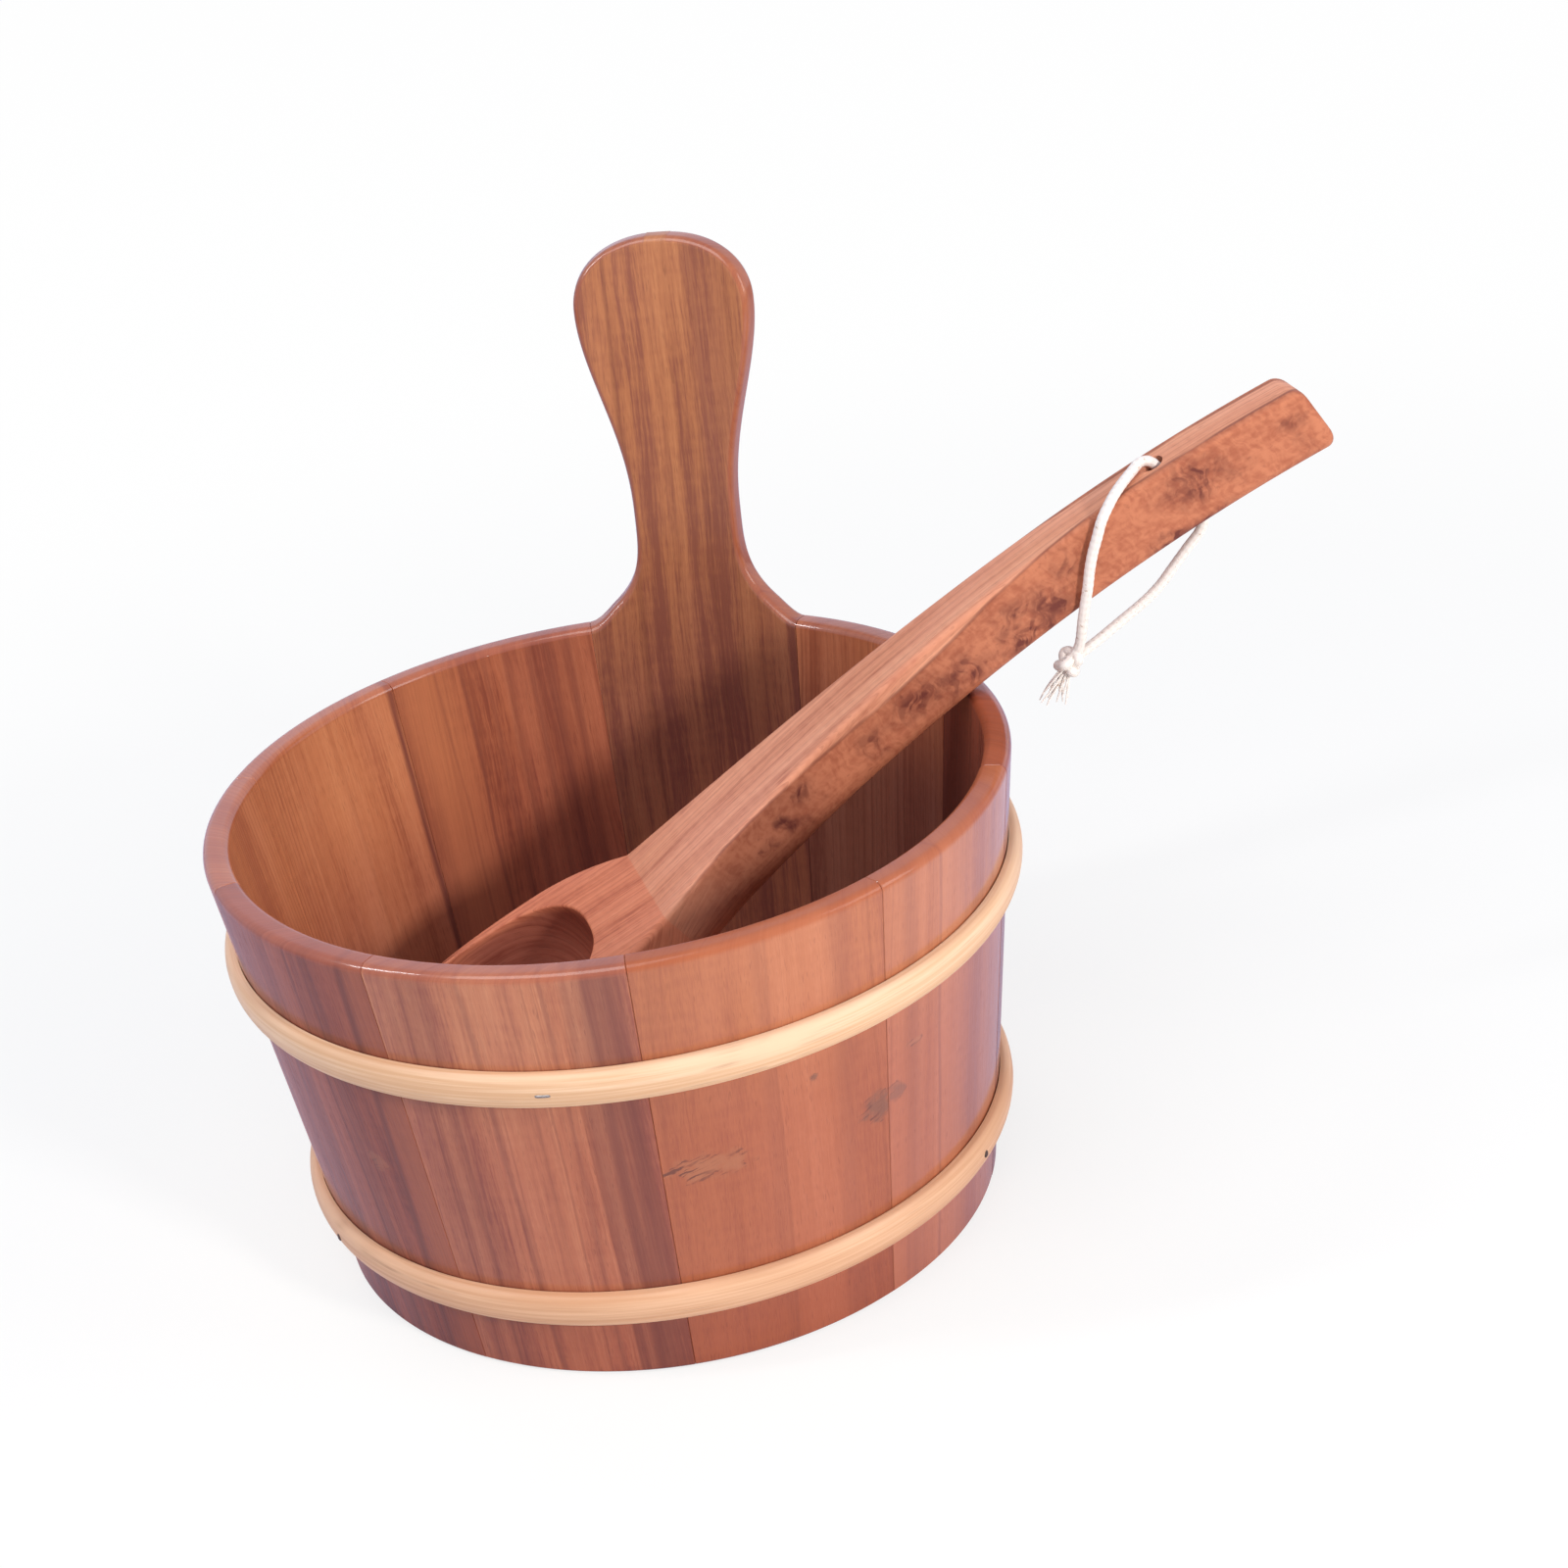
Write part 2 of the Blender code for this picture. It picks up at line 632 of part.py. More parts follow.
def hollow_cutter(name, parent):
    """The bowl's hollow: a squared oval that narrows with depth, open above the bowl's top face."""
    half_length = HOLLOW_LENGTH / 2
    sides = 24
    sections = []
    for deep in (-0.3, 0.0, 0.3, 0.55, 0.75, 0.9, 0.98):
        shrink = (1 - max(deep, 0.0) ** HOLLOW_POWER) ** (1 / HOLLOW_POWER)
        ring = []
        for i in range(sides):
            angle = 2 * pi * (i + 0.5) / sides
            x, y = cos(angle), sin(angle)
            square = (abs(x) ** HOLLOW_POWER + abs(y) ** HOLLOW_POWER) ** (-1 / HOLLOW_POWER) * shrink
            along = -BOWL_BACK_WALL - half_length + half_length * x * square
            ring.append(Vector((along, HOLLOW_HALF_WIDTH * y * square, -HOLLOW_DEPTH * deep)))
        sections.append(ring)
    bm = bmesh.new()
    loft(bm, sections)
    bmesh.ops.rotate(bm, verts=bm.verts, matrix=Matrix.Rotation(BOWL_TILT, 3, "Y"))
    return add_cutter(name, bm, parent)


def cord_hole_cutter(name, parent):
    bm = bmesh.new()
    middle = ladle_top(CORD_HOLE_AT) - LADLE_DEPTH / 2
    cylinder(bm, (CORD_HOLE_AT, 0.0, middle), (0.0, 0.0, 1.0), CORD_HOLE_RADIUS, 2 * LADLE_DEPTH, sides=14)
    return add_cutter(name, bm, parent)


def rim_clearance(turn, place):
    """Least height of the ladle's underside above the rim, in the ladle's own frame."""
    least = 1.0
    for step in range(-120, 121):
        azimuth = LADLE_YAW + radians(0.5 * step)
        for inset, depth in rim_edge():
            level = WALL_HEIGHT - inset
            local = turn.transposed() @ (polar(wall_radius(level) - depth, azimuth, level) - place)
            if 0 < local.x < LADLE_HANDLE and abs(local.y) <= ladle_half_width(local.x):
                least = min(least, ladle_bottom(local.x) - local.z)
    return least


def ladle_rest():
    """Turn and place of the ladle with its bowl on the base and its handle on the rim."""
    points = [point for section in ladle_sections() for point in section]

    def settle(pitch):
        turn = Euler((LADLE_ROLL, -pitch, LADLE_YAW)).to_matrix()
        lowest = min((turn @ point).z for point in points)
        return turn, Vector((*LADLE_PLACE, BASE_TOP + GAP - lowest))

    low, high = radians(5), radians(65)
    for _ in range(24):
        middle = (low + high) / 2
        if rim_clearance(*settle(middle)) < GAP:
            low = middle
        else:
            high = middle
    return Euler((LADLE_ROLL, -high, LADLE_YAW)), settle(high)[1]


# Cord

def smooth_curve(route, count):
    """Evenly spaced points on a smooth curve through the route's points."""
    points = [Vector(point) for point in route]
    padded = [2 * points[0] - points[1], *points, 2 * points[-1] - points[-2]]
    fine = []
    for a, b, c, d in zip(padded, padded[1:], padded[2:], padded[3:]):
        for step in range(16):
            t = step / 16
            fine.append(0.5 * (2 * b + (c - a) * t + (2 * a - 5 * b + 4 * c - d) * t ** 2
                               + (3 * b - a - 3 * c + d) * t ** 3))
    fine.append(points[-1])
    lengths = [0.0]
    for before, after in zip(fine, fine[1:]):
        lengths.append(lengths[-1] + (after - before).length)
    even = []
    piece = 0
    for t in fractions(count - 1):
        target = t * lengths[-1]
        while piece < len(fine) - 2 and lengths[piece + 1] < target:
            piece += 1
        part = (target - lengths[piece]) / (lengths[piece + 1] - lengths[piece])
        even.append(fine[piece].lerp(fine[piece + 1], part))
    return even


def cord_route():
    """From the knot up the near side, through the handle's hole and back under it to the knot."""
    upper = [(x, y, ladle_top(x) + lift) for x, y, lift in CORD_UPPER_ROUTE]
    lower = [(x, y, ladle_bottom(x) - drop) for x, y, drop in CORD_LOWER_ROUTE]
    return upper + lower


def cord(name, parent, material):
    curve = bpy.data.curves.new(name, "CURVE")
    curve.dimensions = "3D"
    curve.bevel_depth = CORD_RADIUS
    curve.bevel_resolution = 2
    curve.use_fill_caps = True
    points = smooth_curve(cord_route(), CORD_POINTS)
    spline = curve.splines.new("POLY")
    spline.points.add(len(points) - 1)
    for spot, point in zip(spline.points, points):
        spot.co = (*point, 1.0)
    curve.materials.append(material)
    obj = bpy.data.objects.new(name, curve)
    bpy.context.scene.collection.objects.link(obj)
    obj.parent = parent
    return obj


def tail_shape(bm, reach):
    """A short loose end, from inside the knot to its tip."""
    reach = Vector(reach)
    turn = reach.to_track_quat("Z", "Y")
    sections = []
    for t in fractions(3):
        sag = Vector((0.0, 0.0, -TAIL_SAG * t * t))
        ring = [turn @ polar(TAIL_RADIUS * (1 - 0.25 * t), 2 * pi * i / 8, 0.0) for i in range(8)]
        sections.append([reach * t + sag + point for point in ring])
    loft(bm, sections)


def knot(name, parent, material):
    """An overhand knot as one lump with wrapped ridges, and its two loose ends."""
    bm = bmesh.new()
    bmesh.ops.create_icosphere(bm, subdivisions=3, radius=1.0)
    for vert in bm.verts:
        wraps = sin(4 * vert.co.z + 3 * vert.co.x) * cos(3 * vert.co.y)
        vert.co = vert.co * (1 + KNOT_RIDGE * wraps)
        vert.co = Vector(radius * value for radius, value in zip(KNOT_RADII, vert.co))
    place = Vector((KNOT_PLACE[0], KNOT_PLACE[1], ladle_top(KNOT_PLACE[0]) + KNOT_PLACE[2]))
    lump = add_object(name, bm, parent, material)
    lump.location = place
    for index, reach in enumerate(TAIL_REACHES):
        tail = bmesh.new()
        tail_shape(tail, reach)
        joined = add_cutter(f"{name}_tail_{index + 1}", tail, parent)
        joined.location = place
        union = lump.modifiers.new(joined.name, "BOOLEAN")
        union.operation = "UNION"
        union.solver = "EXACT"
        union.object = joined
    return lump


# Assembly

def add_bucket(root):
    peg_wood = make_material("bamboo", BAMBOO, 0.55)
    rattan = make_material("rattan", RATTAN, 0.45)
    steel = make_material("steel", STEEL, 0.35, 1.0)
    base_wood = make_material("base_cedar", BASE_CEDAR, 0.5)

    staves = [handle_stave("handle_stave", HANDLE_AZIMUTH, root, make_material("handle_cedar", HANDLE_CEDAR, 0.3))]
    for index in range(1, STAVE_COUNT):
        tone = make_material(f"stave_cedar_{index}", CEDAR_TONES[index % len(CEDAR_TONES)], 0.3)
        staves.append(plain_stave(f"stave_{index}", HANDLE_AZIMUTH + STAVE_ANGLE * index, root, tone))
    boards = [base_board(f"base_board_{index + 1}", index, root, base_wood) for index in range(BASE_BOARDS)]
    hoops = [
        hoop("upper_hoop", UPPER_HOOP_HEIGHT, HOOP_JOINT_UPPER, root, rattan),
        hoop("lower_hoop", LOWER_HOOP_HEIGHT, HOOP_JOINT_LOWER, root, rattan),
    ]
    add_pegs(stave_peg_places(), STAVE_PEG_RADIUS, STAVE_PEG_LENGTH, root, peg_wood)
    add_pegs(base_peg_places(), BASE_PEG_RADIUS, BASE_PEG_LENGTH, root, peg_wood)

    holes = bmesh.new()
    for name, shape, azimuth, height in fasteners():
        fastener = bmesh.new()
        shape(fastener, azimuth, height)
        add_object(name, fastener, root, steel)
        shape(holes, azimuth, height, PEG_PLAY)
    fastener_holes = add_cutter("fastener_holes", holes, root)
    stave_holes = peg_hole_cutter("stave_peg_holes", stave_peg_places(), STAVE_PEG_RADIUS, STAVE_PEG_LENGTH, root)
    base_holes = peg_hole_cutter("base_peg_holes", base_peg_places(), BASE_PEG_RADIUS, BASE_PEG_LENGTH, root)
    for stave in staves:
        cut(stave, stave_holes)
        cut(stave, fastener_holes)
    for strip in hoops:
        cut(strip, fastener_holes)
    for board in boards:
        cut(board, base_holes)


def add_ladle(root):
    frame = bpy.data.objects.new("ladle_frame", None)
    bpy.context.scene.collection.objects.link(frame)
    frame.parent = root
    frame.rotation_euler, frame.location = ladle_rest()
    cotton = make_material("cotton", COTTON, 0.9)
    body = ladle("ladle", frame, make_material("ladle_cedar", LADLE_CEDAR, 0.4))
    cut(body, hollow_cutter("bowl_hollow", frame))
    cut(body, cord_hole_cutter("cord_hole", frame))
    return [cord("cord", frame, cotton), knot("cord_knot", frame, cotton)]


def centre_on_origin(root, left_out):
    """Moves the root so that the origin is the middle of the footprint, at the foot."""
    bpy.context.view_layer.update()
    graph = bpy.context.evaluated_depsgraph_get()
    points = []
    for obj in bpy.context.scene.objects:
        if obj.type == "MESH" and not obj.hide_render and obj not in left_out:
            shown = obj.evaluated_get(graph)
            points += [shown.matrix_world @ vert.co for vert in shown.data.vertices]
    for axis in (0, 1):
        values = [point[axis] for point in points]
        root.location[axis] = -(min(values) + max(values)) / 2


def build():
    clear_scene()
    root = bpy.data.objects.new("sauna_bucket", None)
    bpy.context.scene.collection.objects.link(root)
    add_bucket(root)
    cord_parts = add_ladle(root)
    centre_on_origin(root, cord_parts)


build()
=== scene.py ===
# Sauna bucket: the finish of the coopered bucket, its carved ladle and the ladle's cord.
# Metres and radians throughout. +Z is up and the handle stave is towards +Y.

from math import acos, cos, pi, radians, sin, tan

import bmesh
import bpy
from mathutils import Euler, Matrix, Vector


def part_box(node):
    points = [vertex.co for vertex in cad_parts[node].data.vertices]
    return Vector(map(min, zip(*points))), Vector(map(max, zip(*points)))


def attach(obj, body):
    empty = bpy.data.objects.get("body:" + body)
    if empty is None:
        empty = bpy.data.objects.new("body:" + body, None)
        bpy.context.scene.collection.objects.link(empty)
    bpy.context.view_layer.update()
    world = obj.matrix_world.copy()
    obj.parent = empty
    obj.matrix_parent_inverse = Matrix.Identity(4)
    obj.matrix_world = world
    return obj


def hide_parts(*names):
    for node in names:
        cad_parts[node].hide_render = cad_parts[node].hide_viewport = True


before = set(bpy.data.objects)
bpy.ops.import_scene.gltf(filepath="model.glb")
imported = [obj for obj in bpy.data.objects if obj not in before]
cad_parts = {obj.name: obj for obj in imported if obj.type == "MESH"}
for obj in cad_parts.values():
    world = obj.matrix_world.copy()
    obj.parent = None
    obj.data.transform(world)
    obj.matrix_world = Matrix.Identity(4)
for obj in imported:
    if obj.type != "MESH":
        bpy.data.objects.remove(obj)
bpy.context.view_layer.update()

# Sizes of the bucket, as the frame was built
RIM_RADIUS = 0.125
FOOT_RADIUS = 0.1062
WALL_HEIGHT = 0.1476
WALL_THICKNESS = 0.0085
WALL_SLOPE = (RIM_RADIUS - FOOT_RADIUS) / WALL_HEIGHT
RIM_ROUND_OUTSIDE = 0.0030
RIM_ROUND_INSIDE = 0.0022
FOOT_CHAMFER = 0.0012
STAVE_COUNT = 10
STAVE_ANGLE = 2 * pi / STAVE_COUNT
STAVE_GAP = 0.00006         # between two staves, drawn tight by the hoops
STAVE_HALF_ANGLE = STAVE_ANGLE / 2 - STAVE_GAP / 2 / FOOT_RADIUS
STAVE_STEPS = 48
STAVE_EDGE_BREAK = 0.00018  # eased corner along each joint
STAVE_PROUD = 0.00006       # how far a stave may stand out or back
HANDLE_AZIMUTH = pi / 2
GUARD = 0.0004              # plain strip beside a rounding, which keeps a flat face shaded flat
ROUND_STEPS = 8

HANDLE_HEIGHT = 0.129
HANDLE_NECK_HEIGHT = 0.037
HANDLE_NECK_HALF = 0.0188
HANDLE_PADDLE_HEIGHT = 0.106
HANDLE_PADDLE_HALF = 0.0317
HANDLE_FILLET_POWER = 3.6
HANDLE_FOOT_EASE = 0.010    # how far in from the stave's edge the handle's foot flows out of the rim
HANDLE_FOOT_CROWDING = 1.6  # the outline's points lie closer together towards the foot
HANDLE_SWELL_POWER = 1.15
HANDLE_TOP_POWER = 2.2
HANDLE_TOP_HALF = 0.0040
HANDLE_FOOT_STEPS = 40
HANDLE_PADDLE_STEPS = 36
HANDLE_TOP_STEPS = 30

FIT_GAP = 0.0003
BASE_UNDERSIDE = 0.0195
BASE_THICKNESS = 0.012
BASE_TOP = BASE_UNDERSIDE + BASE_THICKNESS
BASE_BOARDS = 3
BASE_EDGE_BREAK = 0.0006
BASE_EDGE_GAP = 0.0004
BASE_ARC_STEPS = 36
CROZE_DEPTH = 0.0030
CROZE_RADIUS = FOOT_RADIUS + WALL_SLOPE * BASE_UNDERSIDE - WALL_THICKNESS + CROZE_DEPTH
BASE_RADIUS = CROZE_RADIUS - BASE_EDGE_GAP

HOOP_WIDTH = 0.0117
HOOP_THICKNESS = 0.0044
HOOP_EDGE = 0.0008
HOOP_CREST_POWER = 0.85
HOOP_SCARF = 0.9
HOOP_STEPS = 360            # round the bucket
HOOP_CREST_STEPS = 22       # over its rounded face
HOOP_END_SHARE = 0.0004     # of the way round, for the eased corner at either end
HOOP_END_BREAK = 0.0003
HOOP_WAVINESS = 0.00018
HOOP_HEIGHTS = {"upper_hoop": 0.1094, "lower_hoop": 0.0272}
HOOP_JOINTS = {"upper_hoop": radians(60), "lower_hoop": radians(118)}
HOOP_JOINT_STAPLE = radians(6.3)

STAPLE_SPAN = 0.0052
STAPLE_WIRE = 0.0010
STAPLE_BEND = 0.0007
STAPLE_SIDES = 14
BRAD_HEAD_RADIUS = 0.0012
BRAD_HEAD_THICKNESS = 0.0006
BRAD_HEAD_RIM = 0.35        # share of the head's thickness below its dome
BRAD_SHANK_RADIUS = 0.0006
BRAD_POINT = 0.001
BRAD_POINT_RADIUS = 0.3 * BRAD_SHANK_RADIUS
BRAD_SIDES = 24
FASTENER_PROUD = 0.0004
FASTENER_DEPTH = 0.0060
STAPLE_AZIMUTH = radians(-85.3)
BRAD_AZIMUTHS = {"lower_hoop_brad_left": radians(-137), "lower_hoop_brad_right": radians(-13.5)}

# Sizes of the ladle, in its own frame: X along the handle from the back edge of the bowl,
# Y across it and Z up from its top face
LADLE_HANDLE = 0.2518
LADLE_HALF_WIDTH = 0.0085
LADLE_DEPTH = 0.0257
LADLE_ARCH = 0.0365
LADLE_ARCH_POWER = 2.38
LADLE_END_LEAN = 0.06
LADLE_EDGE_ROUND = 0.0020
LADLE_UNDER_ROUND = 0.0040
LADLE_END_ROUND = 0.0038
LADLE_STEPS = 70            # along the handle
LADLE_END_STEPS = 8
FLARE_LENGTH = 0.166
FLARE_HALF_WIDTH = 0.0222
BOWL_TILT = radians(13.8)
BOWL_LENGTH = 0.096
BOWL_SHOULDER = 0.0326
BOWL_HALF_WIDTH = 0.0325
BOWL_DROP = 0.0152
BOWL_TIP_RUN = 0.032
BOWL_TIP_POWER = 2.5
BOWL_TIP_TURNS = (1.552, 1.535, 1.51, 1.48)     # close sections at the very tip
BOWL_TIP_LAST_TURN = 1.45
BOWL_TIP_STEPS = 24
BOWL_SHOULDER_STEPS = 16
BOWL_UNDER_ROUND = 0.023
BOWL_FLOOR = BOWL_LENGTH - BOWL_TIP_RUN
BOWL_DEPTH = (BOWL_FLOOR * tan(BOWL_TILT) + LADLE_DEPTH + BOWL_DROP) * cos(BOWL_TILT)
BOWL_BACK_WALL = 0.0212
BOWL_TIP_WALL = 0.0075
BOWL_SIDE_WALL = 0.0045
BOWL_FLOOR_WALL = 0.0150
HOLLOW_LENGTH = BOWL_LENGTH - BOWL_BACK_WALL - BOWL_TIP_WALL
HOLLOW_HALF_WIDTH = BOWL_HALF_WIDTH - BOWL_SIDE_WALL
HOLLOW_DEPTH = BOWL_DEPTH - BOWL_FLOOR_WALL
HOLLOW_POWER = 2.5
HOLLOW_LIP = 0.0008
HOLLOW_SIDES = 96
HOLLOW_STEPS = 22           # down to its floor
HOLLOW_LAST_TURN = 0.985 * pi / 2
CORD_HOLE_AT = 0.2046
CORD_HOLE_RADIUS = 0.0031
CORD_HOLE_EASE = 0.0007
CORD_HOLE_SIDES = 40
LADLE_TURN = Euler((radians(3.5), -0.620825, radians(28.4)))
LADLE_PLACE = Vector((0.0062, 0.0012, 0.107161))
NEARLY = 1e-5               # two places closer than this are one

# Cord, in the ladle's frame: along the handle, across it, above its top face
CORD_RADIUS = 0.00165
CORD_UPPER_ROUTE = (
    (0.1472, -0.0091, -0.0358), (0.1500, -0.0098, -0.0331), (0.1543, -0.0106, -0.0276),
    (0.1579, -0.0112, -0.0233), (0.1628, -0.0116, -0.0178), (0.1669, -0.0116, -0.0130),
    (0.1712, -0.0116, -0.0085), (0.1759, -0.0116, -0.0043), (0.1801, -0.0113, -0.0007),
    (0.1846, -0.0098, 0.0014), (0.1887, -0.0074, 0.0023), (0.1934, -0.0041, 0.0023),
    (0.1978, -0.0017, 0.0024), (0.2013, 0.0000, 0.0025), (0.2037, 0.0000, 0.0013),
    (0.2046, 0.0000, -0.0025),
)
# The lower strand, below the handle's underside
CORD_LOWER_ROUTE = (
    (0.2046, 0.0000, 0.0000), (0.2039, 0.0000, 0.0030), (0.2005, -0.0005, 0.0056),
    (0.1945, -0.0010, 0.0078), (0.1866, -0.0016, 0.0108), (0.1797, -0.0023, 0.0132),
    (0.1725, -0.0031, 0.0143), (0.1625, -0.0042, 0.0145), (0.1545, -0.0057, 0.0141),
    (0.1487, -0.0071, 0.0133),
)
CORD_INSIDE_GAP = 0.0015    # half the space between the loop's two ends, in the middle of the hole
CORD_POINTS = 240
BRAID = {"Radius": CORD_RADIUS, "Sides": 32, "Spacing": 0.0003, "Strands": 4.0, "Pitch": 0.0044,
         "Relief": 0.00006}
KNOT_PLACE = (0.1425, -0.0078, -0.0385)
KNOT_RADII = (0.0050, 0.0043, 0.0046)
KNOT_POINTS = 120
TAIL_REACHES = ((-0.0150, 0.0005, -0.0030), (-0.0115, -0.0012, -0.0075))
TAIL_SAG = 0.0012
TAIL_CURL = 1.6
YARN_COUNT = 6
YARN_STEPS = 14
YARN_SIDES = 8
YARN_RADIUS = 0.00042
YARN_TAPER = 0.55
YARN_APART = 0.0006         # from the tail's middle where it leaves the knot
YARN_SPREAD = 0.0011        # further apart at the tips
YARN_SHORTER = 0.07         # steps in the yarns' lengths, as shares of the tail


# Small helpers

def fractions(count):
    """count + 1 even steps from 0 to 1."""
    return [i / count for i in range(count + 1)]


def quarter_turn(count):
    """Sine and cosine at count + 1 even steps up to a right angle."""
    return [(sin(pi / 2 * t), cos(pi / 2 * t)) for t in fractions(count)]


def ease(t):
    """0 to 1 with a level start and end."""
    return t * t * (3 - 2 * t)


def polar(radius, azimuth, height):
    return Vector((radius * cos(azimuth), radius * sin(azimuth), height))


def rgb(red, green, blue):
    return (red, green, blue, 1.0)


def bucket_axis():
    """Where the bucket's upright axis stands in the frame, from staves that lie evenly about it."""
    left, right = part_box("handle_stave")
    ends = [corner.y for name in ("stave_2", "stave_3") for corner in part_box(name)]
    return Vector(((left.x + right.x) / 2, (min(ends) + max(ends)) / 2, 0.0))


AXIS = bucket_axis()
BUCKET_FRAME = Matrix.Translation(AXIS)
LADLE_FRAME = BUCKET_FRAME @ Matrix.Translation(LADLE_PLACE) @ LADLE_TURN.to_matrix().to_4x4()


def new_object(name, data):
    obj = bpy.data.objects.new(name, data)
    bpy.context.scene.collection.objects.link(obj)
    return obj


def shade(mesh):
    mesh.shade_smooth()
    mesh.set_sharp_from_angle(angle=radians(35))


def mesh_of(name, bm, material=None, outwards=True):
    """The bmesh as a mesh, with its faces turned outwards and round faces shaded smooth."""
    if outwards:
        bmesh.ops.recalc_face_normals(bm, faces=bm.faces)
    mesh = bpy.data.meshes.new(name)
    bm.to_mesh(mesh)
    bm.free()
    shade(mesh)
    if material:
        mesh.materials.append(material)
    return mesh


def line_mesh(name, points, closed=False):
    mesh = bpy.data.meshes.new(name)
    edges = [(i, i + 1) for i in range(len(points) - 1)]
    if closed:
        edges.append((len(points) - 1, 0))
    mesh.from_pydata(points, edges, [])
    return mesh


def write_attribute(mesh, name, kind, values):
    field = "vector" if kind == "FLOAT_VECTOR" else "value"
    attribute = mesh.attributes.new(name, kind, "POINT")
    for item, value in zip(attribute.data, values):
        setattr(item, field, value)


def skin(bm, rings, closed=True):
    """Faces between rings of points with the same number of points each."""
    for ring, following in zip(rings, rings[1:]):
        for i in range(0 if closed else 1, len(ring)):
            bm.faces.new((ring[i - 1], ring[i], following[i], following[i - 1]))


def capped_skin(bm, rings):
    skin(bm, rings)
    bm.faces.new(rings[0])
    bm.faces.new(rings[-1])


def turned(profile, sides):
    """A round solid about Z, from the radius and height of each of its rings."""
    bm = bmesh.new()
    capped_skin(bm, [[bm.verts.new(polar(radius, 2 * pi * i / sides, height)) for i in range(sides)]
                     for radius, height in profile])
    return bm


def tube(bm, points, radii, sides):
    """A round bar along the points, with a closed end at either side."""
    rings = []
    side = (points[1] - points[0]).orthogonal()
    for index, point in enumerate(points):
        before, after = points[max(index - 1, 0)], points[min(index + 1, len(points) - 1)]
        along = (after - before).normalized()
        side = (side - along * side.dot(along)).normalized()
        up = along.cross(side)
        ring = []
        for i in range(sides):
            angle = 2 * pi * i / sides
            ring.append(bm.verts.new(point + (side * cos(angle) + up * sin(angle)) * radii[index]))
        rings.append(ring)
    capped_skin(bm, rings)


def smooth_curve(route, count):
    """Evenly spaced points on a smooth curve through the route's points."""
    points = [Vector(point) for point in route]
    padded = [2 * points[0] - points[1], *points, 2 * points[-1] - points[-2]]
    fine = []
    for a, b, c, d in zip(padded, padded[1:], padded[2:], padded[3:]):
        for t in fractions(16)[:-1]:
            fine.append(0.5 * (2 * b + (c - a) * t + (2 * a - 5 * b + 4 * c - d) * t ** 2
                               + (3 * b - a - 3 * c + d) * t ** 3))
    fine.append(points[-1])
    lengths = [0.0]
    for before, after in zip(fine, fine[1:]):
        lengths.append(lengths[-1] + (after - before).length)
    even = []
    piece = 0
    for t in fractions(count - 1):
        target = t * lengths[-1]
        while piece < len(fine) - 2 and lengths[piece + 1] < target:
            piece += 1
        part = (target - lengths[piece]) / (lengths[piece + 1] - lengths[piece])
        even.append(fine[piece].lerp(fine[piece + 1], part))
    return even


# Node trees

class Wire:
    """A node's output. Reckoning with it adds math nodes to its tree."""

    def __init__(self, make, socket):
        self.make = make
        self.socket = socket

    def __add__(self, other):
        return self.make.math("ADD", self, other)

    def __sub__(self, other):
        return self.make.math("SUBTRACT", self, other)

    def __rsub__(self, other):
        return self.make.math("SUBTRACT", other, self)

    def __mul__(self, other):
        return self.make.math("MULTIPLY", self, other)

    def __truediv__(self, other):
        return self.make.math("DIVIDE", self, other)

    def __rtruediv__(self, other):
        return self.make.math("DIVIDE", other, self)

    def __pow__(self, power):
        return self.make.math("POWER", self, power)

    def __abs__(self):
        return self.make.math("ABSOLUTE", self)

    __radd__ = __add__
    __rmul__ = __mul__

    def swing(self, reach):
        """A noise value moved to run evenly about zero, times a reach."""
        return (self - 0.5) * reach

    def smooth(self, low, high):
        """0 at low, 1 at high and a smooth change between, whichever of the two is larger."""
        feeds = {"Value": self, "From Min": low, "From Max": high}
        return self.make.wire("ShaderNodeMapRange", feeds, interpolation_type="SMOOTHSTEP")


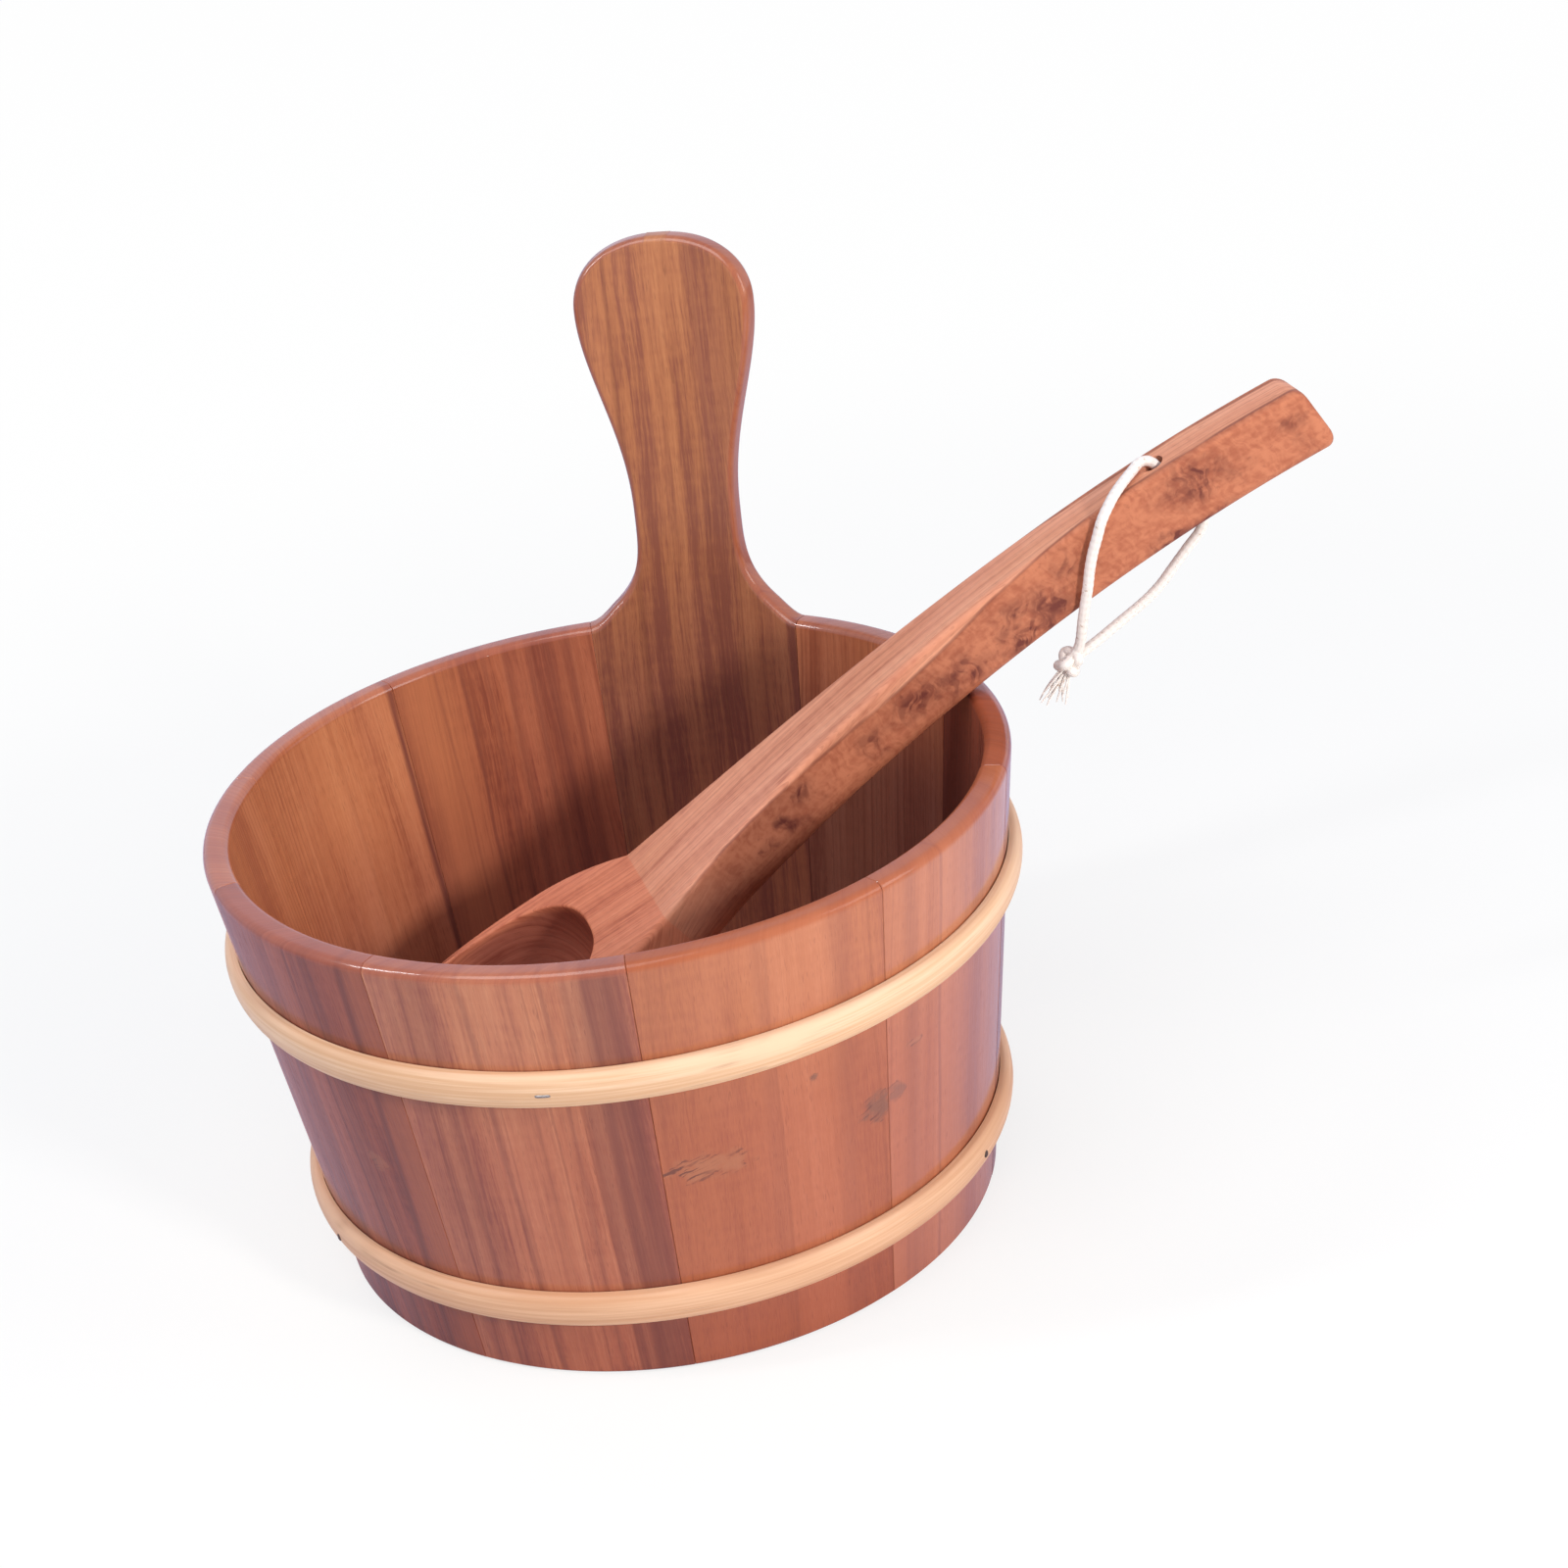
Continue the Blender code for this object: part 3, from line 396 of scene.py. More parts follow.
class NodeMaker:
    """Adds nodes to a tree, where a plain value and a wire are given alike."""

    def __init__(self, tree):
        self.tree = tree

    def feed(self, socket, value):
        if isinstance(value, Wire):
            self.tree.links.new(value.socket, socket)
        elif value is not None:
            socket.default_value = value

    def node(self, kind, feeds=None, **settings):
        node = self.tree.nodes.new(kind)
        for name, value in settings.items():
            setattr(node, name, value)
        for name, value in (feeds or {}).items():
            self.feed(node.inputs[name], value)
        return node

    def wire(self, kind, feeds=None, output=0, **settings):
        """A new node's output, by its place or name."""
        return Wire(self, self.node(kind, feeds, **settings).outputs[output])

    def wires(self, kind, feeds=None, **settings):
        """All of a new node's outputs, by name."""
        return {socket.name: Wire(self, socket) for socket in self.node(kind, feeds, **settings).outputs}

    def math(self, operation, *values):
        return self.wire("ShaderNodeMath", dict(enumerate(values)), operation=operation)

    def vector(self, operation, first, second=None):
        output = "Value" if operation == "LENGTH" else "Vector"
        return self.wire("ShaderNodeVectorMath", {0: first, 1: second}, output, operation=operation)

    def join(self, x, y, z=0.0):
        return self.wire("ShaderNodeCombineXYZ", {"X": x, "Y": y, "Z": z})

    def split(self, vector):
        return self.wires("ShaderNodeSeparateXYZ", {"Vector": vector}).values()

    def noise(self, place, detail=2.0, scale=1.0):
        """Noise at a place, given whole or by its three parts."""
        if isinstance(place, tuple):
            place = self.join(*place)
        return self.wire("ShaderNodeTexNoise", {"Vector": place, "Scale": scale, "Detail": detail})

    def mix(self, share, first, second, blend="MIX"):
        feeds = {0: share, 6: first, 7: second}
        return self.wire("ShaderNodeMix", feeds, 2, data_type="RGBA", blend_type=blend)

    def keep(self, geometry, kind, value):
        """The geometry and one value kept on its points."""
        node = self.node("GeometryNodeCaptureAttribute", {"Geometry": geometry})
        node.capture_items.new(kind, "kept")
        self.feed(node.inputs["kept"], value)
        return Wire(self, node.outputs["Geometry"]), Wire(self, node.outputs["kept"])

    def store(self, geometry, name, kind, value):
        feeds = {"Geometry": geometry, "Name": name, "Value": value}
        return self.wire("GeometryNodeStoreNamedAttribute", feeds, data_type=kind, domain="POINT")


class GroupMaker(NodeMaker):
    """A new group, with the names of its inputs and outputs listed under their kinds."""

    def __init__(self, name, kind, inputs, outputs):
        super().__init__(bpy.data.node_groups.new(name, kind))
        for direction, kinds in (("INPUT", inputs), ("OUTPUT", outputs)):
            for socket, labels in kinds.items():
                for label in labels:
                    self.tree.interface.new_socket(label, in_out=direction, socket_type="NodeSocket" + socket)
        self.given = self.wires("NodeGroupInput")
        self.ends = self.node("NodeGroupOutput").inputs

    def put_out(self, **values):
        for label, value in values.items():
            self.feed(self.ends[label], value)
        return self.tree

    def dress(self, geometry):
        """Ends a geometry tree, with its instances made real and its material set."""
        real = self.wire("GeometryNodeRealizeInstances", {"Geometry": geometry})
        feeds = {"Geometry": real, "Material": self.given["Material"]}
        return self.put_out(Geometry=self.wire("GeometryNodeSetMaterial", feeds))


def run_tree(name, mesh, tree, values):
    """The mesh put through a geometry tree, as a plain object."""
    obj = new_object(name, mesh)
    modifier = obj.modifiers.new(tree.name, "NODES")
    modifier.node_group = tree
    for item in tree.interface.items_tree:
        if item.in_out == "INPUT" and item.name in values:
            modifier[item.identifier] = values[item.name]
    graph = bpy.context.evaluated_depsgraph_get()
    plain = bpy.data.meshes.new_from_object(
        obj.evaluated_get(graph), preserve_all_data_layers=True, depsgraph=graph)
    obj.modifiers.clear()
    obj.data = plain
    turn = bmesh.new()
    turn.from_mesh(plain)
    bmesh.ops.recalc_face_normals(turn, faces=turn.faces)
    turn.to_mesh(plain)
    turn.free()
    shade(plain)
    plain.name = name
    return obj


GEOMETRY = {"Geometry": ["Geometry"]}


def bent_piece_tree():
    """A flat outline carried round the bucket's wall: a stave over its angle, or a hoop all the way."""
    make = GroupMaker("bent_piece", "GeometryNodeTree", {
        **GEOMETRY, "Int": ["Steps"], "Material": ["Material"],
        "Float": ["Foot Radius", "Wall Slope", "Full Height", "Rim Round", "Middle Azimuth", "Half Angle",
                  "Edge Share", "Edge Break", "Middle Depth", "Half Depth", "Slant", "Slant Height",
                  "Waviness", "Proud"],
    }, GEOMETRY)
    given = make.given
    steps = given["Steps"]
    outline = make.wire("GeometryNodeMeshToCurve", {"Mesh": given["Geometry"]})
    outline, spot = make.keep(outline, "VECTOR", make.wire("GeometryNodeInputPosition"))
    line = make.wire("GeometryNodeCurvePrimitiveLine")
    line = make.wire("GeometryNodeResampleCurve", {"Curve": line, "Count": steps + 1.0})
    line, station = make.keep(line, "FLOAT", make.wire("GeometryNodeSplineParameter", output="Index"))
    swept = make.wire("GeometryNodeCurveToMesh", {"Curve": line, "Profile Curve": outline, "Fill Caps": True})

    # Share of the way round, with one narrow step at either end for the eased edge
    first = make.math("LESS_THAN", station, 0.5)
    last = make.math("GREATER_THAN", station, steps - 0.5)
    edge = given["Edge Share"]
    inner = make.wire("ShaderNodeMapRange", {
        "Value": station, "From Min": 1.0, "From Max": steps - 1.0, "To Min": edge, "To Max": 1.0 - edge})
    share = inner + last * edge - first * edge

    out_from_wall, height, _ = make.split(spot)
    eased = (first + last) * given["Edge Break"]
    from_middle = out_from_wall - given["Middle Depth"]
    depth = from_middle * (1.0 - eased / given["Half Depth"]) + given["Middle Depth"]
    level = height - eased * height / given["Full Height"]

    turn = given["Half Angle"] * (share * 2.0 - 1.0)
    slant = (height - given["Slant Height"]) * given["Slant"]
    azimuth = given["Middle Azimuth"] + turn + slant
    east = make.math("COSINE", azimuth)
    north = make.math("SINE", azimuth)
    wave = make.noise((east, north, height), 1.0, 9.0).swing(given["Waviness"])
    wall = given["Foot Radius"] + level * given["Wall Slope"]
    radius = wall + depth + wave + given["Proud"]
    place = make.join(east * radius, north * radius, level + wave)
    bent = make.wire("GeometryNodeSetPosition", {"Geometry": swept, "Position": place})
    bent = make.store(bent, "place", "FLOAT_VECTOR", make.join(turn * wall, level, depth))
    below_rim = (given["Full Height"] - level) / given["Rim Round"]
    return make.dress(make.store(bent, "edge", "FLOAT", below_rim.smooth(1.1, 0.4)))


def braided_cord_tree():
    """A round braided cord along a line, its strands crossing in low diamonds."""
    make = GroupMaker("braided_cord", "GeometryNodeTree", {
        **GEOMETRY, "Int": ["Sides"], "Material": ["Material"],
        "Float": ["Radius", "Spacing", "Strands", "Pitch", "Relief"],
    }, GEOMETRY)
    given = make.given
    position = make.wire("GeometryNodeInputPosition")
    run = make.wires("GeometryNodeSplineParameter")
    line = make.wire("GeometryNodeMeshToCurve", {"Mesh": given["Geometry"]})
    line = make.wire("GeometryNodeResampleCurve", {"Curve": line, "Length": given["Spacing"]}, mode="LENGTH")
    line, length = make.keep(line, "FLOAT", run["Length"])
    line, middle = make.keep(line, "VECTOR", position)
    feeds = {"Resolution": given["Sides"], "Radius": given["Radius"]}
    ring, share = make.keep(make.wire("GeometryNodeCurvePrimitiveCircle", feeds), "FLOAT", run["Factor"])
    swept = make.wire("GeometryNodeCurveToMesh", {"Curve": line, "Profile Curve": ring, "Fill Caps": True})

    around = share * (2 * pi) * given["Strands"]
    onward = length * (2 * pi) / given["Pitch"]
    crossing = make.math("COSINE", around + onward) * make.math("COSINE", around - onward)
    outwards = make.vector("NORMALIZE", make.vector("SUBTRACT", position, middle))
    feeds = {0: outwards, "Scale": crossing * given["Relief"]}
    lift = make.wire("ShaderNodeVectorMath", feeds, operation="SCALE")
    raised = make.wire("GeometryNodeSetPosition", {"Geometry": swept, "Offset": lift})
    return make.dress(make.store(raised, "crossing", "FLOAT", crossing))


def fastener_row_tree():
    """One small fastener set at each point, turned by the point's own rotation."""
    inputs = {**GEOMETRY, "Object": ["Fastener"], "Material": ["Material"]}
    make = GroupMaker("fastener_row", "GeometryNodeTree", inputs, GEOMETRY)
    fastener = make.wire("GeometryNodeObjectInfo", {"Object": make.given["Fastener"]}, "Geometry")
    turn = make.wire("GeometryNodeInputNamedAttribute", {"Name": "turn"}, data_type="FLOAT_VECTOR")
    turn = make.wire("FunctionNodeEulerToRotation", {"Euler": turn})
    feeds = {"Points": make.given["Geometry"], "Instance": fastener, "Rotation": turn}
    return make.dress(make.wire("GeometryNodeInstanceOnPoints", feeds))


# Finishes shared by several materials

TONES = ("Pale", "Middle", "Dark")
FIGURE_OUTPUTS = {"Color": ["Colour"], "Float": ["Roughness", "Height"]}


def cedar_figure_group():
    """Straight-grained wood, given a place as across, along and into the board."""
    make = GroupMaker("cedar_figure", "ShaderNodeTree", {
        "Vector": ["Place"], "Color": TONES,
        "Float": ["Seed", "Band", "Ring", "Sway", "Streaks", "Fibre", "Lines", "Lines From", "Lines To"],
    }, FIGURE_OUTPUTS)
    given = make.given
    across, along, depth = make.split(given["Place"])
    seed, pale, dark = given["Seed"], given["Pale"], given["Dark"]

    broad = make.noise((across * 20.0, along * 6.0, seed + 1.3))
    close = make.noise((across * 150.0, along * 30.0, seed + 4.1))
    drift = broad.swing(2.0) + close.swing(0.35)
    grain = across + depth * 0.7 + drift * given["Sway"]

    def streak(per_metre, per_metre_along, shift, detail=2.0):
        return make.noise((grain * per_metre, along * per_metre_along, seed + shift), detail)

    per_band = 1.0 / given["Band"]
    bands = streak(per_band, 2.5, 11.0, 1.0)
    stripes = streak(per_band * 4.5, 6.0, 23.0, 3.0)
    fibres = streak(1150.0, 45.0, 37.0)
    dashes = streak(2600.0, 190.0, 51.0, 1.0)
    pores = dashes.smooth(0.60, 0.74)
    ripple = make.noise((grain * 140.0, along * 330.0, seed), 1.0)

    tone = 0.5 + bands.swing(1.15) + stripes.swing(0.95) * given["Streaks"]
    tone = tone + fibres.swing(0.60) * given["Fibre"] + dashes.swing(0.45) + ripple.swing(0.18)
    colour = make.mix(tone.smooth(0.16, 0.54), dark, given["Middle"])
    colour = make.mix(tone.smooth(0.46, 0.88), colour, pale)
    hue = make.noise((across * 45.0, along * 9.0, seed + 83.0))
    colour = make.mix(hue.smooth(0.40, 0.68), colour, rgb(1.04, 1.06, 1.14), "MULTIPLY")

    turns = grain / given["Ring"] + bands * 2.5
    late = make.math("FRACT", turns) ** 4.0
    shown = streak(per_band * 1.5, 1.5, 67.0).smooth(0.40, 0.62)
    span = across.smooth(given["Lines From"], given["Lines To"])
    line = late * make.math("MAXIMUM", shown, span * 0.8) * span * given["Lines"]
    deep = make.mix(1.0, dark, rgb(0.62, 0.58, 0.62), "MULTIPLY")
    colour = make.mix(line, colour, deep)
    thread = streak(380.0, 1.5, 97.0)
    colour = make.mix(thread.smooth(0.60, 0.70) * given["Streaks"] * 0.40, colour, deep)
    colour = make.mix(thread.smooth(0.38, 0.30) * given["Streaks"] * 0.35, colour, pale)
    return make.put_out(
        Colour=make.mix(pores * 0.42, colour, deep),
        Roughness=0.40 + fibres.swing(0.20) + pores * 0.12,
        Height=fibres + dashes * 0.5 - pores * 0.6 - line * 0.4)


def filled_knot_group():
    """A knot filled and sanded flush: a ragged patch, and dark curved marks at its left end and round it."""
    make = GroupMaker("filled_knot", "ShaderNodeTree", {
        "Vector": ["Place"], "Float": ["Across", "Along", "Width", "Height", "Seed"],
    }, {"Float": ["Patch", "Marks"]})
    given = make.given
    across, along, _ = make.split(given["Place"])
    x = (across - given["Across"]) / given["Width"]
    y = (along - given["Along"]) / given["Height"]
    ragged = make.noise((across * 230.0, along * 330.0, given["Seed"]), 4.0)
    far = make.vector("LENGTH", make.join(x, y)) + ragged.swing(1.7)
    patch = far.smooth(1.05, 0.35)
    tilted = along - across * 0.35 + ragged.swing(0.0022)
    strokes = make.noise((across * 150.0, tilted * 900.0, given["Seed"]))
    within = strokes.smooth(0.50, 0.62) * patch.smooth(0.1, 0.6) * x.smooth(0.35, -0.45)
    around = patch.smooth(0.05, 0.30) * patch.smooth(0.8, 0.4) * strokes.smooth(0.48, 0.62)
    return make.put_out(Patch=patch, Marks=make.math("MAXIMUM", within, around * 0.7))


def burl_cloud_group():
    """A dark cloud in burl: a soft stain, broken up by short strokes across the grain."""
    make = GroupMaker("burl_cloud", "ShaderNodeTree", {
        "Vector": ["Place"], "Float": ["Along", "Below", "Length", "Height", "Seed"],
    }, {"Float": ["Mask"]})
    given = make.given
    seed = given["Seed"]
    along, below, _ = make.split(given["Place"])
    bend = make.noise((along * 90.0, below * 90.0, seed)).swing(0.016)
    x = (along + bend - given["Along"]) / given["Length"]
    y = (below + bend - given["Below"]) / given["Height"]
    soft = make.vector("LENGTH", make.join(x, y)).smooth(1.25, 0.15)
    slanted = along + below * 0.45 + bend
    strokes = make.noise((slanted * 420.0, below * 150.0, seed), 3.0).smooth(0.44, 0.62)
    patches = make.noise((along * 200.0, below * 260.0, seed + 5.0), 3.0).smooth(0.42, 0.60)
    broken = strokes * 0.55 + patches * 0.45
    return make.put_out(Mask=soft * (0.15 + broken * 0.85))


def dark_streak_group():
    """One streak down a stave, from a place at the foot to a place at the rim."""
    make = GroupMaker("dark_streak", "ShaderNodeTree", {
        "Vector": ["Place"], "Float": ["At Foot", "At Rim", "Width", "Seed"],
    }, {"Float": ["Mask"]})
    given = make.given
    seed = given["Seed"]
    across, along, _ = make.split(given["Place"])
    wander = make.noise((along * 14.0, seed, 0.0)).swing(0.004)
    middle = given["At Foot"] + along / WALL_HEIGHT * (given["At Rim"] - given["At Foot"]) + wander
    spread = given["Width"] * (0.5 + make.noise((along * 25.0, 7.0, seed)))
    near = (abs(across - middle) / spread).smooth(1.0, 0.05)
    fibre = make.noise((across * 1500.0, along * 20.0, seed))
    return make.put_out(Mask=near * (0.55 + fibre * 0.7))


def burl_figure_group():
    """Curly wood with a fine mottle, and small dark eyes here and there."""
    make = GroupMaker("burl_figure", "ShaderNodeTree", {
        "Vector": ["Place"], "Float": ["Seed"], "Color": TONES,
    }, {"Color": ["Colour"], "Float": ["Height"]})
    given = make.given
    across, along, depth = make.split(given["Place"])

    def spots(per_metre, stretch, shift, detail=2.0):
        slice_at = given["Seed"] + shift + across * per_metre
        return make.noise((along * (per_metre * stretch), depth * per_metre, slice_at), detail)

    bent = along + spots(120.0, 0.8, 3.0).swing(0.010)
    curls = make.noise((bent * 620.0, depth * 190.0, across * 300.0))
    clouds = spots(70.0, 0.5, 5.0)
    mottle = spots(560.0, 0.6, 9.0, 3.0)
    eyes = spots(520.0, 0.8, 29.0)
    tone = 0.55 + mottle.swing(0.70) + curls.swing(0.75) + clouds.swing(0.6)
    colour = make.mix(tone.smooth(0.25, 0.75), given["Middle"], given["Pale"])
    dots = eyes.smooth(0.62, 0.74) * clouds.smooth(0.44, 0.60)
    return make.put_out(Colour=make.mix(dots * 0.35, colour, given["Dark"]), Height=mottle + curls * 0.5)


def fibre_strip_group():
    """Split cane or bamboo, given a place as along, across and into the strip."""
    make = GroupMaker("fibre_strip", "ShaderNodeTree", {
        "Vector": ["Place"], "Float": ["Seed"], "Color": TONES,
    }, FIGURE_OUTPUTS)
    given = make.given
    along, across, depth = make.split(given["Place"])
    girth = across + depth * 0.8

    def fibres(per_metre, per_metre_along, shift, detail=2.0):
        return make.noise((along * per_metre_along, girth * per_metre, given["Seed"] + shift), detail)

    tint = fibres(150.0, 8.0, 2.0)
    strands = fibres(1000.0, 12.0, 13.0, 3.0)
    hairs = fibres(3000.0, 30.0, 31.0)
    tone = 0.5 + tint.swing(1.2) + strands.swing(1.3) + hairs.swing(0.7)
    colour = make.mix(tone.smooth(0.15, 0.80), given["Middle"], given["Pale"])
    dark = strands.smooth(0.56, 0.74) * fibres(90.0, 45.0, 43.0).smooth(0.42, 0.64)
    return make.put_out(
        Colour=make.mix(dark * 0.7, colour, given["Dark"]),
        Roughness=0.50 + hairs.swing(0.2) + dark * 0.1,
        Height=strands + hairs * 0.6)


CEDAR_FIGURE = cedar_figure_group()
FILLED_KNOT = filled_knot_group()
DARK_STREAK = dark_streak_group()
BURL_FIGURE = burl_figure_group()
BURL_CLOUD = burl_cloud_group()
FIBRE_STRIP = fibre_strip_group()


# Materials

KNOT_TAN = rgb(0.38, 0.138, 0.066)
KNOT_GREY = rgb(0.19, 0.082, 0.052)
KNOT_MARK = rgb(0.11, 0.036, 0.026)
KNOT_COVER = 0.85
STREAK_BROWN = rgb(0.17, 0.048, 0.034)
RIM_STAIN = rgb(0.34, 0.074, 0.022)
RIM_STAIN_SHARE = 0.58
# Heights between which a stave's painted light and shade change, and depths between its outside and its
# inside
PAINTED_TOP_LIGHT_SPAN = (0.080, 0.130)
PAINTED_FOOT_SHADE_SPAN = (0.034, 0.012)
INSIDE_SPAN = (-0.0040, -0.0070)
# Tints that a cedar's own colour is multiplied by; all but the bowl's are painted light or shade
# Painted light: a stave lighter towards its rim, outside and inside
PAINTED_TOP_LIGHT = rgb(1.16, 1.36, 1.36)
# Painted shade at the foot, by the floor and under the lower hoop
PAINTED_FOOT_SHADE = rgb(0.84, 0.72, 0.66)
# Painted shade low inside the bucket: on most staves, deeper on the staves under the ladle, and on the handle
# stave
PAINTED_INSIDE_SHADE = rgb(0.72, 0.71, 0.84)
PAINTED_INSIDE_SHADE_DEEP = rgb(0.38, 0.42, 0.62)
PAINTED_INSIDE_SHADE_HANDLE = rgb(0.58, 0.53, 0.72)
# Painted shadow of the rim on the ladle's side by the bowl
BURL_PAINTED_SHADOW = rgb(0.72, 0.72, 0.76)
BOWL_STAIN = rgb(0.92, 0.74, 0.68)
# Painted shade in the ladle's hollow
HOLLOW_PAINTED_SHADE = rgb(0.56, 0.50, 0.60)


def new_material(name, **constants):
    """A material with its shader's unchanging values set: (material, maker, shader)."""
    material = bpy.data.materials.new(name)
    material.use_nodes = True
    shader = material.node_tree.nodes["Principled BSDF"]
    for label, value in constants.items():
        shader.inputs[label.replace("_", " ")].default_value = value
    return material, NodeMaker(material.node_tree), shader


def surface(make, shader, colour, roughness, height, strength, relief):
    """Feeds a shader its colour, its roughness and a bump of so much relief."""
    bump = make.wire("ShaderNodeBump", {"Strength": strength, "Distance": relief, "Height": height})
    for label, value in (("Base Color", colour), ("Roughness", roughness), ("Normal", bump)):
        make.feed(shader.inputs[label], value)


def attribute(make, name, output):
    return make.wire("ShaderNodeAttribute", output=output, attribute_name=name)


def own_place(make):
    return attribute(make, "place", "Vector")


def object_place(make):
    return make.wire("ShaderNodeTexCoord", output="Object")


def toned(tree, make, place, seed, tones, **feeds):
    """The outputs of a finish that has three tones."""
    feeds = {label.replace("_", " "): value for label, value in feeds.items()}
    feeds = {"Place": place, "Seed": seed, **dict(zip(TONES, tones)), **feeds}
    return make.wires("ShaderNodeGroup", feeds, node_tree=tree)


def cedar(make, place, seed, tones, band=0.020, ring=0.0045, sway=0.004, streaks=1.0, fibre=1.0, lines=0.2,
          lines_span=(-2.0, -1.0)):
    return toned(CEDAR_FIGURE, make, place, seed, tones, Band=band, Ring=ring, Sway=sway, Streaks=streaks,
                 Fibre=fibre, Lines=lines, Lines_From=lines_span[0], Lines_To=lines_span[1])


def with_streak(make, place, colour, streak, tint, seed):
    foot, rim, width, strength = streak
    feeds = {"Place": place, "At Foot": foot, "At Rim": rim, "Width": width, "Seed": seed}
    return make.mix(make.wire("ShaderNodeGroup", feeds, node_tree=DARK_STREAK) * strength, colour, tint)


def with_knot(make, place, colour, knot, seed):
    across, along, width, height, strength, filler = knot
    feeds = {"Place": place, "Across": across, "Along": along, "Width": width, "Height": height, "Seed": seed}
    filled = make.wires("ShaderNodeGroup", feeds, node_tree=FILLED_KNOT)
    colour = make.mix(filled["Patch"] * (strength * KNOT_COVER), colour, filler)
    return make.mix(filled["Marks"] * (strength * KNOT_COVER), colour, KNOT_MARK)


def varnished_cedar(name, seed, tones, gloss=0.5, rim_gloss=1.0, painted_top_light=(0.0, 0.0), painted_foot_shade=1.0,
                    painted_inside_shade_span=(0.125, 0.055), painted_inside_shade_tone=PAINTED_INSIDE_SHADE, light_streaks=(), dark_streaks=(), knots=(),
                    **grain):
    """Satin-varnished cedar for one stave: painted light towards the rim, by a share outside and a share
    inside, painted shade low inside and at the foot, and stained deeper on its rounded rim."""
    material, make, shader = new_material(name, Coat_Roughness=0.14, Specular_IOR_Level=0.15)
    place = own_place(make)
    figure = cedar(make, place, seed, tones, **grain)
    colour = figure["Colour"]
    for index, (*streak, tint) in enumerate(light_streaks):
        colour = with_streak(make, place, colour, streak, tint, seed + 1.1 * index)
    for index, streak in enumerate(dark_streaks):
        colour = with_streak(make, place, colour, streak, STREAK_BROWN, seed + 0.7 * index)
    for index, knot in enumerate(knots):
        colour = with_knot(make, place, colour, knot, seed + 1.9 * index)
    _, height, depth = make.split(place)
    inside = depth.smooth(*INSIDE_SPAN)
    # Painted light, lighter towards the rim outside and inside
    pale_outside, pale_inside = painted_top_light
    near_rim = height.smooth(*PAINTED_TOP_LIGHT_SPAN) * (pale_outside + inside * (pale_inside - pale_outside))
    # Painted shade, darker low inside
    low_inside = height.smooth(*painted_inside_shade_span) * inside
    # Painted shade, darker at the foot
    at_foot = height.smooth(*PAINTED_FOOT_SHADE_SPAN) * painted_foot_shade
    for share, tint in ((near_rim, PAINTED_TOP_LIGHT), (low_inside, painted_inside_shade_tone), (at_foot, PAINTED_FOOT_SHADE)):
        colour = make.mix(share, colour, tint, "MULTIPLY")
    edge = attribute(make, "edge", "Fac")
    colour = make.mix(edge * RIM_STAIN_SHARE, colour, RIM_STAIN)
    make.feed(shader.inputs["Coat Weight"], gloss + edge * (rim_gloss - gloss))
    surface(make, shader, colour, figure["Roughness"], figure["Height"], 0.22, 0.0003)
    return material


# Cedar tones, pale to dark
ROSE_CEDAR = (rgb(0.50, 0.175, 0.088), rgb(0.40, 0.122, 0.061), rgb(0.26, 0.066, 0.040))
ORANGE_CEDAR = (rgb(0.45, 0.141, 0.064), rgb(0.39, 0.114, 0.049), rgb(0.31, 0.084, 0.040))
BROWN_CEDAR = (rgb(0.36, 0.098, 0.053), rgb(0.26, 0.065, 0.037), rgb(0.15, 0.036, 0.026))
RUSSET_CEDAR = (rgb(0.49, 0.150, 0.070), rgb(0.39, 0.111, 0.053), rgb(0.23, 0.060, 0.035))
GOLDEN_CEDAR = (rgb(0.60, 0.214, 0.094), rgb(0.52, 0.170, 0.073), rgb(0.36, 0.104, 0.047))
HANDLE_CEDAR = (rgb(0.54, 0.218, 0.083), rgb(0.43, 0.158, 0.062), rgb(0.27, 0.088, 0.045))
LADLE_CEDAR = (rgb(0.77, 0.360, 0.208), rgb(0.67, 0.280, 0.156), rgb(0.46, 0.160, 0.090))
BASE_CEDAR = (rgb(0.50, 0.185, 0.095), rgb(0.40, 0.135, 0.066), rgb(0.28, 0.086, 0.046))
BURL_CEDAR = (rgb(0.52, 0.186, 0.096), rgb(0.38, 0.116, 0.060), rgb(0.15, 0.040, 0.028))

